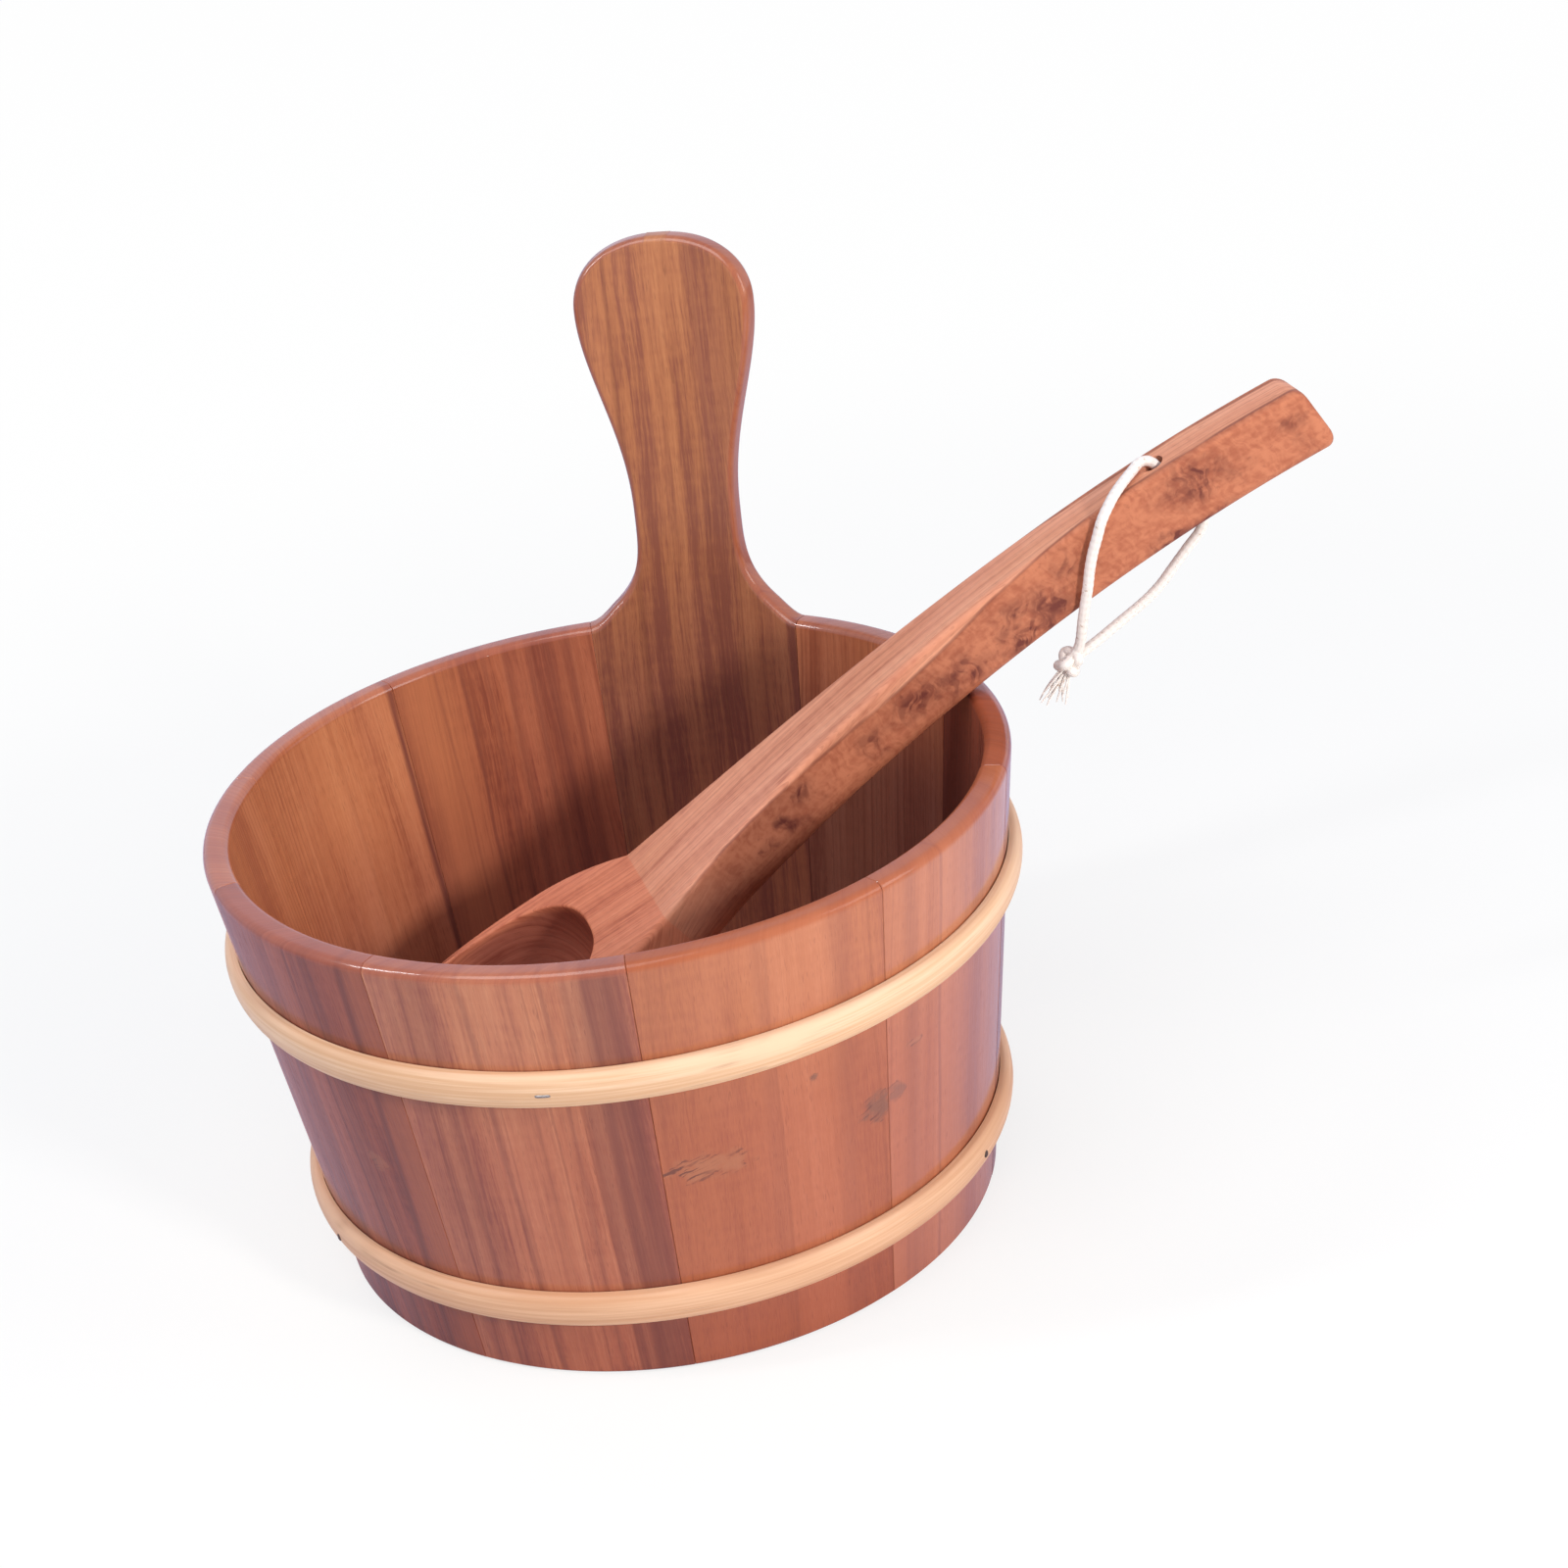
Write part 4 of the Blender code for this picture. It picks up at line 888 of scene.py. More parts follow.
# Each plain stave: its tones, then what is its own.
# Streaks: off the middle at the foot and at the rim, half width, strength, and a tone where it is light.
# Knots: off the middle, height, half width, half height, strength, filler.
STAVE_FINISHES = {
    1: (RUSSET_CEDAR, dict(
        band=0.014, painted_top_light=(0.0, 0.45),
        light_streaks=((0.0230, 0.0270, 0.0220, 0.80, GOLDEN_CEDAR[1]),),
        dark_streaks=(
            (0.0180, 0.0212, 0.0010, 0.35), (0.0100, 0.0118, 0.0012, 0.55), (0.0020, 0.0024, 0.0022, 0.5),
            (-0.0050, -0.0060, 0.0030, 0.5), (-0.0130, -0.0155, 0.0024, 0.5), (-0.0190, -0.0220, 0.0030, 0.6),
            (-0.0250, -0.0295, 0.0026, 0.5), (-0.0200, -0.0240, 0.0230, 0.40)))),
    2: (GOLDEN_CEDAR, dict(
        streaks=0.4, lines=0.65, ring=0.0022, sway=0.0008, lines_span=(-0.004, 0.024), painted_top_light=(0.0, 0.6),
        dark_streaks=((-0.0326, -0.0380, 0.0022, 1.0),))),
    3: (GOLDEN_CEDAR, dict(streaks=0.4, lines=0.6, ring=0.0022, sway=0.0008, painted_top_light=(0.0, 0.6))),
    4: (BROWN_CEDAR, dict(
        gloss=0.30,
        light_streaks=((0.0300, 0.0360, 0.0130, 0.60, ROSE_CEDAR[1]),),
        dark_streaks=((0.0205, 0.0310, 0.0026, 0.9), (0.0060, 0.0160, 0.0050, 0.5)),
        knots=((0.0170, 0.072, 0.0050, 0.0036, 0.45, KNOT_TAN),))),
    5: (ROSE_CEDAR, dict(
        sway=0.0018, gloss=0.45, painted_top_light=(0.9, 0.0),
        light_streaks=((-0.0335, -0.0390, 0.0012, 0.60, ROSE_CEDAR[0]),
                       (0.0010, 0.0012, 0.0160, 0.30, ROSE_CEDAR[0])),
        dark_streaks=(
            (0.0295, 0.0340, 0.0075, 0.85), (0.0222, 0.0272, 0.0080, 0.62), (0.0240, 0.0275, 0.0030, 0.60),
            (0.0190, 0.0210, 0.0024, 0.40), (0.0130, 0.0150, 0.0016, 0.4), (-0.0060, -0.0090, 0.0016, 0.45),
            (-0.0180, -0.0225, 0.0080, 0.35), (-0.0270, -0.0320, 0.0070, 0.25)))),
    6: (ORANGE_CEDAR, dict(
        streaks=0.5, fibre=0.5, lines=0.05, gloss=0.6, rim_gloss=0.4, painted_top_light=(1.0, 0.0),
        dark_streaks=((-0.0020, -0.0030, 0.0040, 0.2), (0.0200, 0.0225, 0.0060, 0.25)),
        knots=((-0.0225, 0.074, 0.0135, 0.0056, 0.95, KNOT_TAN),
               (0.0325, 0.073, 0.0075, 0.0062, 0.9, KNOT_GREY),
               (0.0110, 0.094, 0.0018, 0.0016, 0.9, KNOT_GREY)))),
    7: (ORANGE_CEDAR, dict(
        streaks=0.6, fibre=0.5, lines=0.08, band=0.018, gloss=1.0, rim_gloss=0.6, painted_top_light=(0.9, 0.0),
        painted_foot_shade=0.1,
        dark_streaks=((-0.0120, -0.0140, 0.0012, 0.4), (-0.0240, -0.0280, 0.0050, 0.25)),
        knots=((-0.0330, 0.074, 0.0045, 0.0042, 0.7, KNOT_GREY),
               (-0.0250, 0.088, 0.0040, 0.0014, 0.7, KNOT_TAN)))),
    8: (BROWN_CEDAR, dict(streaks=1.1, gloss=0.8, painted_inside_shade_span=(0.150, 0.100), painted_inside_shade_tone=PAINTED_INSIDE_SHADE_DEEP)),
    9: (GOLDEN_CEDAR, dict(
        streaks=1.2, lines=0.4, band=0.012, ring=0.0030, painted_inside_shade_span=(0.150, 0.095), painted_inside_shade_tone=PAINTED_INSIDE_SHADE_DEEP)),
}


def stave_cedar(index):
    tones, own = STAVE_FINISHES[index]
    return varnished_cedar(f"stave_cedar_{index}", 13.0 + 7.7 * index, tones, **own)


def handle_cedar():
    return varnished_cedar(
        "handle_cedar", 5.3, HANDLE_CEDAR, band=0.015, ring=0.0070, sway=0.005, streaks=0.85, lines=0.12,
        painted_inside_shade_span=(0.200, 0.100), painted_inside_shade_tone=PAINTED_INSIDE_SHADE_HANDLE, dark_streaks=((-0.0170, -0.0185, 0.0130, 0.15),))


def base_cedar(index):
    """Planed and unvarnished cedar for a base board."""
    material, make, shader = new_material(f"base_cedar_{index}", Specular_IOR_Level=0.35)
    figure = cedar(make, own_place(make), 101.0 + 3.1 * index, BASE_CEDAR,
                   ring=0.005, sway=0.006, streaks=0.9, lines=0.4)
    surface(make, shader, figure["Colour"], figure["Roughness"] + 0.15, figure["Height"], 0.3, 0.0004)
    return material


# Dark clouds in the burl of the ladle's sides: along, below the top, half length, half height, strength
LADLE_CLOUDS = (
    (0.2100, 0.0095, 0.0150, 0.0100, 1.10), (0.2000, 0.0245, 0.0170, 0.0050, 1.40),
    (0.2435, 0.0085, 0.0060, 0.0050, 0.70), (0.2415, 0.0190, 0.0045, 0.0060, 0.50),
    (0.1630, 0.0090, 0.0070, 0.0090, 0.70), (0.1530, 0.0180, 0.0080, 0.0090, 1.00),
    (0.1400, 0.0100, 0.0085, 0.0070, 1.00), (0.1395, 0.0205, 0.0120, 0.0070, 1.40),
    (0.1155, 0.0160, 0.0130, 0.0075, 1.00), (0.1000, 0.0110, 0.0120, 0.0080, 1.10),
    (0.0815, 0.0125, 0.0070, 0.0060, 0.90), (0.0585, 0.0090, 0.0055, 0.0055, 1.10),
    (0.0480, 0.0130, 0.0042, 0.0045, 1.10), (0.0360, 0.0110, 0.0045, 0.0045, 1.00),
)


def ladle_cedar():
    """Straight grain on top and in the bowl, and burl below a dark line that wanders on to the side."""
    material, make, shader = new_material(
        "ladle_cedar", Coat_Weight=0.05, Coat_Roughness=0.35, Specular_IOR_Level=0.10)
    place = own_place(make)
    across, along, below = make.split(place)
    figure = cedar(make, place, 211.0, LADLE_CEDAR,
                   band=0.014, ring=0.0030, sway=0.0020, streaks=0.7, lines=0.35)
    burl = toned(BURL_FIGURE, make, place, 3.7, BURL_CEDAR)
    dark = BURL_CEDAR[-1]
    in_from_side = attribute(make, "half_width", "Fac") - abs(across)
    wander = make.noise((along * 30.0, 3.0, across)).swing(0.003)
    line_at = along.smooth(0.035, 0.095) * 0.0050 - along.smooth(0.10, 0.19) * 0.0078 + wander
    past_line = below - in_from_side - line_at
    on_handle = along.smooth(-0.010, 0.030)
    on_side = past_line.smooth(-0.0005, 0.0007) * on_handle

    clouded = burl["Colour"]
    side_place = make.join(along, below)
    for index, (at, under, length, height, strength) in enumerate(LADLE_CLOUDS):
        feeds = {"Place": side_place, "Along": at, "Below": under, "Length": length, "Height": height,
                 "Seed": 5.0 + 1.7 * index}
        cloud = make.wire("ShaderNodeGroup", feeds, node_tree=BURL_CLOUD)
        clouded = make.mix(cloud * strength, clouded, dark)
    # Painted shadow of the bucket's rim on the burl side by the bowl
    by_bowl = along.smooth(0.072, 0.045)
    clouded = make.mix(by_bowl, clouded, BURL_PAINTED_SHADOW, "MULTIPLY")
    colour = make.mix(on_side, figure["Colour"], clouded)
    near_line = abs(past_line).smooth(0.0010, 0.0001)
    broken = make.noise((along * 40.0, 9.0, 1.0)).smooth(0.30, 0.55)
    colour = make.mix(near_line * broken * on_handle * 0.6, colour, dark)
    on_bowl = along.smooth(0.0004, -0.0004)
    colour = make.mix(on_bowl, colour, BOWL_STAIN, "MULTIPLY")
    # Painted shade in the hollow, darker down inside it
    in_hollow = below.smooth(0.0006, 0.0040) * in_from_side.smooth(0.0025, 0.0040)
    in_hollow = in_hollow * make.math("LESS_THAN", along, -0.010)
    colour = make.mix(in_hollow * 0.9, colour, HOLLOW_PAINTED_SHADE, "MULTIPLY")
    height = figure["Height"] + burl["Height"] * on_side * 0.5
    surface(make, shader, colour, figure["Roughness"] + 0.08, height, 0.22, 0.0003)
    return material


def strip_material(name, seed, tones, place_of, **constants):
    """Cane or bamboo, with fibres along the strip."""
    material, make, shader = new_material(name, **constants)
    strip = toned(FIBRE_STRIP, make, place_of(make), seed, tones)
    surface(make, shader, strip["Colour"], strip["Roughness"], strip["Height"], 0.30, 0.0003)
    return material


RATTAN_TONES = {
    "upper_hoop": (rgb(0.80, 0.54, 0.34), rgb(0.67, 0.39, 0.21), rgb(0.38, 0.18, 0.09)),
    "lower_hoop": (rgb(0.74, 0.45, 0.27), rgb(0.60, 0.32, 0.17), rgb(0.34, 0.15, 0.07)),
}
BAMBOO_TONES = (rgb(0.74, 0.56, 0.30), rgb(0.60, 0.42, 0.20), rgb(0.38, 0.24, 0.10))


def rattan(hoop, seed):
    return strip_material(f"rattan_{hoop}", seed, RATTAN_TONES[hoop], own_place,
                          Coat_Weight=0.1, Coat_Roughness=0.35, Specular_IOR_Level=0.3)


def bamboo():
    return strip_material("bamboo", 17.0, BAMBOO_TONES, object_place)


def steel(name, tone, roughness):
    """Drawn wire, dulled unevenly."""
    material, make, shader = new_material(name, Metallic=0.9)
    worn = make.noise(object_place(make), 3.0, 2600.0)
    dull = rgb(*(0.55 * channel for channel in tone[:3]))
    colour = make.mix(worn.smooth(0.35, 0.65), dull, tone)
    surface(make, shader, colour, roughness + worn.swing(0.3), worn, 0.15, 0.0001)
    return material


def cotton():
    """Soft undyed cotton, with painted shade down between the strands and a few seed specks."""
    material, make, shader = new_material(
        "cotton", Sheen_Weight=0.25, Sheen_Roughness=0.5, Specular_IOR_Level=0.2)
    spot = object_place(make)
    fuzz = make.noise(spot, 3.0, 3200.0)
    specks = make.noise(spot, 1.0, 900.0).smooth(0.70, 0.76)
    # Painted shade: greyer where the braid's crossings sink between the strands
    tone = 0.70 + attribute(make, "crossing", "Fac") * 0.22 + fuzz.swing(0.5)
    colour = make.mix(tone.smooth(0.1, 0.9), rgb(0.66, 0.57, 0.48), rgb(0.83, 0.76, 0.69))
    colour = make.mix(specks * 0.6, colour, rgb(0.42, 0.24, 0.12))
    surface(make, shader, colour, 0.85 + fuzz.swing(0.2), fuzz, 0.4, 0.0002)
    return material


# Bucket

WALL = {"Foot Radius": FOOT_RADIUS, "Wall Slope": WALL_SLOPE, "Full Height": WALL_HEIGHT,
        "Rim Round": RIM_ROUND_OUTSIDE}


def wall_radius(height):
    return FOOT_RADIUS + WALL_SLOPE * height


def rim_edge():
    """The rim's rounded edge from outside to inside: (distance in from the edge, depth in the wall)."""
    turns = quarter_turn(ROUND_STEPS)
    outside = [(RIM_ROUND_OUTSIDE * (1 - sine), RIM_ROUND_OUTSIDE * (1 - cosine)) for sine, cosine in turns]
    inside = [(RIM_ROUND_INSIDE * (1 - sine), WALL_THICKNESS - RIM_ROUND_INSIDE * (1 - cosine))
              for sine, cosine in reversed(turns)]
    return outside + inside


def wall_below_rim():
    """The wall below the rim's edge, outside down and inside up: (out from the wall's face, height)."""
    groove_low = BASE_UNDERSIDE - FIT_GAP
    groove_high = BASE_TOP + FIT_GAP
    return [
        (0.0, WALL_HEIGHT - RIM_ROUND_OUTSIDE - GUARD),
        (0.0, FOOT_CHAMFER + GUARD),
        (0.0, FOOT_CHAMFER),
        (-FOOT_CHAMFER, 0.0),
        (-WALL_THICKNESS, 0.0),
        (-WALL_THICKNESS, groove_low),
        (CROZE_RADIUS - wall_radius(groove_low), groove_low),
        (CROZE_RADIUS - wall_radius(groove_high), groove_high),
        (-WALL_THICKNESS, groove_high),
        (-WALL_THICKNESS, WALL_HEIGHT - RIM_ROUND_INSIDE - GUARD),
    ]


def settle(obj, body, slot, *nodes):
    """Puts a finished piece on its body and in place of its solids. Its slot is not used."""
    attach(obj, body)
    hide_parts(*nodes)


def settle_on_bucket(obj, slot, *nodes):
    """Moves a piece made about the bucket's axis to where the bucket stands, and settles it there."""
    obj.data.transform(BUCKET_FRAME)
    settle(obj, "bucket", slot, *nodes)


def add_bent_piece(tree, name, outline, slot, node, values):
    """Carries an outline of (out from the wall's face, height) round the wall."""
    flat = line_mesh(name, [(out, height, 0.0) for out, height in outline], closed=True)
    settle_on_bucket(run_tree(name, flat, tree, {**WALL, **values}), slot, node)


def add_staves(tree):
    outline = wall_below_rim() + [(-depth, WALL_HEIGHT - inset) for inset, depth in reversed(rim_edge())]
    for index in range(1, STAVE_COUNT):
        add_bent_piece(tree, f"stave_{index}_wood", outline, "stave_cedar", f"stave_{index}", {
            "Middle Azimuth": HANDLE_AZIMUTH + STAVE_ANGLE * index, "Half Angle": STAVE_HALF_ANGLE,
            "Steps": STAVE_STEPS, "Edge Share": STAVE_EDGE_BREAK / (2 * STAVE_HALF_ANGLE * RIM_RADIUS),
            "Edge Break": STAVE_EDGE_BREAK, "Middle Depth": -WALL_THICKNESS / 2,
            "Half Depth": WALL_THICKNESS / 2, "Proud": STAVE_PROUD * sin(5.0 * index),
            "Material": stave_cedar(index)})


def handle_outline():
    """Half width and height above the rim, from the stave's edge up to the middle of the top."""
    stave_half = RIM_RADIUS * STAVE_HALF_ANGLE
    points = []
    for t in fractions(HANDLE_FOOT_STEPS)[:-1]:
        rise = t ** HANDLE_FOOT_CROWDING
        half = HANDLE_NECK_HALF + (stave_half - HANDLE_NECK_HALF) * (1 - rise) ** HANDLE_FILLET_POWER
        eased = min((stave_half - half) / HANDLE_FOOT_EASE, 1.0)
        points.append((half, HANDLE_NECK_HEIGHT * rise * eased * (2 - eased)))
    for t in fractions(HANDLE_PADDLE_STEPS):
        half = HANDLE_NECK_HALF + (HANDLE_PADDLE_HALF - HANDLE_NECK_HALF) * ease(t ** HANDLE_SWELL_POWER)
        points.append((half, HANDLE_NECK_HEIGHT + (HANDLE_PADDLE_HEIGHT - HANDLE_NECK_HEIGHT) * t))
    top_rise = HANDLE_HEIGHT - HANDLE_PADDLE_HEIGHT
    for sine, cosine in quarter_turn(HANDLE_TOP_STEPS)[1:]:
        half = HANDLE_PADDLE_HALF * max(cosine, 0.0) ** (2 / HANDLE_TOP_POWER)
        if half > HANDLE_TOP_HALF:
            points.append((half, HANDLE_PADDLE_HEIGHT + top_rise * sine ** (2 / HANDLE_TOP_POWER)))
    return points + [(HANDLE_TOP_HALF, HANDLE_HEIGHT)]


def outline_normals(points):
    """Outward directions at the outline's points, upright at the stave's edge and at the top."""
    normals = [Vector((0.0, 1.0))]
    for before, after in zip(points, points[2:]):
        along = Vector((after[0] - before[0], after[1] - before[1])).normalized()
        normals.append(Vector((along.y, -along.x)))
    return normals + [Vector((0.0, 1.0))]


def handle_mesh(material):
    """The stave that is carried up into a paddle, with the rim's rounding run all the way round it."""
    bm = bmesh.new()
    edge = rim_edge()
    edge = [(edge[0][0] + GUARD, 0.0), *edge, (edge[-1][0] + GUARD, WALL_THICKNESS)]
    back = len(edge) - 1
    outline = handle_outline()
    normals = outline_normals(outline)
    top = len(outline) - 1
    places = {}
    stains = []

    def point(out, sideways, level, stain=0.0):
        """A point by its distance out from the wall's face, arc round the handle's middle and height."""
        radius = wall_radius(level)
        vert = bm.verts.new(polar(radius + out, HANDLE_AZIMUTH + sideways / radius, level))
        places[vert] = Vector((sideways, level, out))
        stains.append(stain)
        return vert

    def edge_point(side, index, k):
        (half, height), away = outline[index], normals[index]
        inset, depth = edge[k]
        level = WALL_HEIGHT + height - away.y * inset
        reach = (half - away.x * inset) * wall_radius(level) / wall_radius(WALL_HEIGHT + height)
        return point(-depth, side * reach, level, 1.0 if 2 < k < back - 2 else 0.0)

    strips = {side: [[edge_point(side, index, k) for k in range(back + 1)] for index in range(top + 1)]
              for side in (-1, 1)}

    def rung(index, k):
        """Points across one face, between the two rounded edges."""
        left, right = strips[-1][index][k], strips[1][index][k]
        between = [places[left].lerp(places[right], t) for t in fractions(STAVE_STEPS)[1:-1]]
        return [left, *(point(spot.z, spot.x, spot.y) for spot in between), right]

    faces = {}
    for k in (0, back):
        faces[k] = [rung(index, k) for index in range(top + 1)]
        skin(bm, faces[k], closed=False)
    for side in (-1, 1):
        skin(bm, strips[side], closed=False)

    # The top's short flat, between the highest strips
    rows = [rung(top, k) for k in range(1, back)]
    skin(bm, [faces[0][-1], *rows, faces[back][-1]], closed=False)

    # The wall below, hung from the lowest rungs
    columns = []
    for i, t in enumerate(fractions(STAVE_STEPS)):
        angle = STAVE_HALF_ANGLE * (2 * t - 1)
        column = [point(out, angle * wall_radius(level), level) for out, level in wall_below_rim()[1:-1]]
        columns.append([faces[0][0][i], *column, faces[back][0][i]])
    skin(bm, columns, closed=False)
    for side, column in ((-1, columns[0]), (1, columns[-1])):
        bm.faces.new(column + strips[side][0][-2:0:-1])
    mesh = mesh_of("handle_stave_wood", bm, material)
    write_attribute(mesh, "place", "FLOAT_VECTOR", places.values())
    write_attribute(mesh, "edge", "FLOAT", stains)
    return mesh


def add_handle_stave():
    stave = new_object("handle_stave_wood", handle_mesh(handle_cedar()))
    settle_on_bucket(stave, "handle_cedar", "handle_stave")


def board_outline(low, high):
    """Corner points of the slice of the base disc between two X values."""
    start = acos(min(high / BASE_RADIUS, 1.0))
    end = acos(max(low / BASE_RADIUS, -1.0))
    upper = [start + (end - start) * t for t in fractions(BASE_ARC_STEPS)]
    lower = [-angle for angle in reversed(upper) if NEARLY < angle < pi - NEARLY]
    return [(BASE_RADIUS * cos(angle), BASE_RADIUS * sin(angle)) for angle in upper + lower]


def add_base():
    width = 2 * BASE_RADIUS / BASE_BOARDS
    for index in range(BASE_BOARDS):
        low = -BASE_RADIUS + width * index + (FIT_GAP / 2 if index else 0.0)
        high = -BASE_RADIUS + width * (index + 1) - (FIT_GAP / 2 if index < BASE_BOARDS - 1 else 0.0)
        bm = bmesh.new()
        outline = board_outline(low, high)
        lower, upper = ([bm.verts.new((x, y, z)) for x, y in outline] for z in (BASE_UNDERSIDE, BASE_TOP))
        skin(bm, [lower, upper])
        rims = [edge for face in (bm.faces.new(lower), bm.faces.new(upper)) for edge in face.edges]
        bmesh.ops.recalc_face_normals(bm, faces=bm.faces)
        bmesh.ops.bevel(bm, geom=rims, offset=BASE_EDGE_BREAK, segments=3, profile=0.5, affect="EDGES")
        name = f"base_board_{index + 1}"
        mesh = mesh_of(f"{name}_wood", bm, base_cedar(index + 1))
        write_attribute(mesh, "place", "FLOAT_VECTOR", [vert.co.copy() for vert in mesh.vertices])
        settle_on_bucket(new_object(f"{name}_wood", mesh), "base_cedar", name)


def add_hoops(tree):
    for order, (name, middle) in enumerate(HOOP_HEIGHTS.items()):
        outline = [(FIT_GAP, middle - HOOP_WIDTH / 2), (FIT_GAP, middle + HOOP_WIDTH / 2)]
        for t in fractions(HOOP_CREST_STEPS):
            crest = max(sin(pi * t), 0.0) ** HOOP_CREST_POWER
            outline.append((FIT_GAP + HOOP_EDGE + (HOOP_THICKNESS - HOOP_EDGE) * crest,
                            middle + HOOP_WIDTH / 2 * cos(pi * t)))
        add_bent_piece(tree, f"{name}_strip", outline, "rattan", name, {
            "Middle Azimuth": HOOP_JOINTS[name] + pi, "Half Angle": pi - FIT_GAP / 2 / wall_radius(middle),
            "Steps": HOOP_STEPS, "Edge Share": HOOP_END_SHARE, "Edge Break": HOOP_END_BREAK,
            "Middle Depth": FIT_GAP, "Half Depth": HOOP_THICKNESS,
            "Slant": HOOP_SCARF / wall_radius(middle), "Slant Height": middle, "Waviness": HOOP_WAVINESS,
            "Material": rattan(name, 41.0 + 9.0 * order)})


def staple_mesh():
    """A wire bent into two legs, with its crown along X and its legs down Z."""
    half = (STAPLE_SPAN - STAPLE_WIRE) / 2
    crown = FASTENER_PROUD - STAPLE_WIRE / 2
    corner = [(half - STAPLE_BEND * (1 - sine), crown - STAPLE_BEND * (1 - cosine))
              for sine, cosine in quarter_turn(5)]
    right = [(half, -FASTENER_DEPTH), *reversed(corner)]
    outline = [(-x, z) for x, z in right] + right[::-1]
    bm = bmesh.new()
    tube(bm, [Vector((x, 0.0, z)) for x, z in outline], [STAPLE_WIRE / 2] * len(outline), STAPLE_SIDES)
    return mesh_of("staple", bm)


def brad_mesh():
    """A small domed head on a shank, with its head up Z."""
    under = FASTENER_PROUD - BRAD_HEAD_THICKNESS
    profile = [(BRAD_POINT_RADIUS, -FASTENER_DEPTH), (BRAD_SHANK_RADIUS, -FASTENER_DEPTH + BRAD_POINT),
               (BRAD_SHANK_RADIUS, under), (BRAD_HEAD_RADIUS, under)]
    for sine, cosine in quarter_turn(6)[:-1]:
        rise = BRAD_HEAD_RIM + (1 - BRAD_HEAD_RIM) * sine
        profile.append((BRAD_HEAD_RADIUS * cosine, under + BRAD_HEAD_THICKNESS * rise))
    return mesh_of("brad", turned(profile, BRAD_SIDES))


def hoop_crest(azimuth, height):
    """A place on a hoop's crest, and a turn with X along the hoop, Y up and Z outwards."""
    out = polar(1.0, azimuth, 0.0)
    along = Vector((-sin(azimuth), cos(azimuth), 0.0))
    crest = out * (wall_radius(height) + FIT_GAP + HOOP_THICKNESS) + Vector((0.0, 0.0, height))
    turn = Matrix((along, Vector((0.0, 0.0, 1.0)), out)).transposed()
    return crest, Vector(turn.to_euler())


def add_fasteners(tree):
    upper, lower = HOOP_HEIGHTS["upper_hoop"], HOOP_HEIGHTS["lower_hoop"]
    staples = {
        "upper_hoop_staple": (STAPLE_AZIMUTH, upper),
        "upper_hoop_joint_staple": (HOOP_JOINTS["upper_hoop"] + HOOP_JOINT_STAPLE, upper),
        "lower_hoop_joint_staple": (HOOP_JOINTS["lower_hoop"] + HOOP_JOINT_STAPLE, lower),
    }
    brads = {name: (azimuth, lower) for name, azimuth in BRAD_AZIMUTHS.items()}
    rows = (
        ("hoop_staples", staples, staple_mesh(), steel("staple_wire", rgb(0.42, 0.38, 0.33), 0.42)),
        ("hoop_brads", brads, brad_mesh(), steel("brad_steel", rgb(0.16, 0.11, 0.08), 0.45)),
    )
    for name, nodes, shape, material in rows:
        crests, turns = zip(*(hoop_crest(*place) for place in nodes.values()))
        points = bpy.data.meshes.new(name)
        points.from_pydata(crests, [], [])
        write_attribute(points, "turn", "FLOAT_VECTOR", turns)
        pattern = new_object(f"{name}_pattern", shape)
        row = run_tree(name, points, tree, {"Fastener": pattern, "Material": material})
        bpy.data.objects.remove(pattern)
        settle_on_bucket(row, "steel", *nodes)


# Ladle

def ladle_top(x):
    if x < 0:
        return -x * tan(BOWL_TILT)
    return -LADLE_ARCH * (x / LADLE_HANDLE) ** LADLE_ARCH_POWER


def tip_round(x, start):
    """1 up to where the bowl's end starts to round off, falling to 0 at its tip."""
    t = min(max((-x - start) / (BOWL_LENGTH - start), 0.0), 1.0)
    return (1 - t ** BOWL_TIP_POWER) ** (1 / BOWL_TIP_POWER)


def ladle_half_width(x):
    if x >= 0:
        flare = max(0.0, 1 - x / FLARE_LENGTH)
        return LADLE_HALF_WIDTH + (FLARE_HALF_WIDTH - LADLE_HALF_WIDTH) * flare ** 2
    if x > -BOWL_SHOULDER:
        return BOWL_HALF_WIDTH - (BOWL_HALF_WIDTH - FLARE_HALF_WIDTH) * (1 + x / BOWL_SHOULDER) ** 2
    return BOWL_HALF_WIDTH * tip_round(x, BOWL_SHOULDER)


def ladle_bottom(x):
    if x >= 0:
        return ladle_top(x) - LADLE_DEPTH
    floor = -LADLE_DEPTH - BOWL_DROP * ease(min(-x / BOWL_FLOOR, 1.0))
    return ladle_top(x) + (floor - ladle_top(x)) * tip_round(x, BOWL_FLOOR)


def under_round(x):
    """Rounding of the underside's corners: small on the handle and large under the bowl."""
    t = min(max(1 - x / FLARE_LENGTH, 0.0), 1.0)
    wide = LADLE_UNDER_ROUND + (BOWL_UNDER_ROUND - LADLE_UNDER_ROUND) * t * t
    return min(wide, 0.8 * ladle_half_width(x), 0.6 * (ladle_top(x) - ladle_bottom(x)))


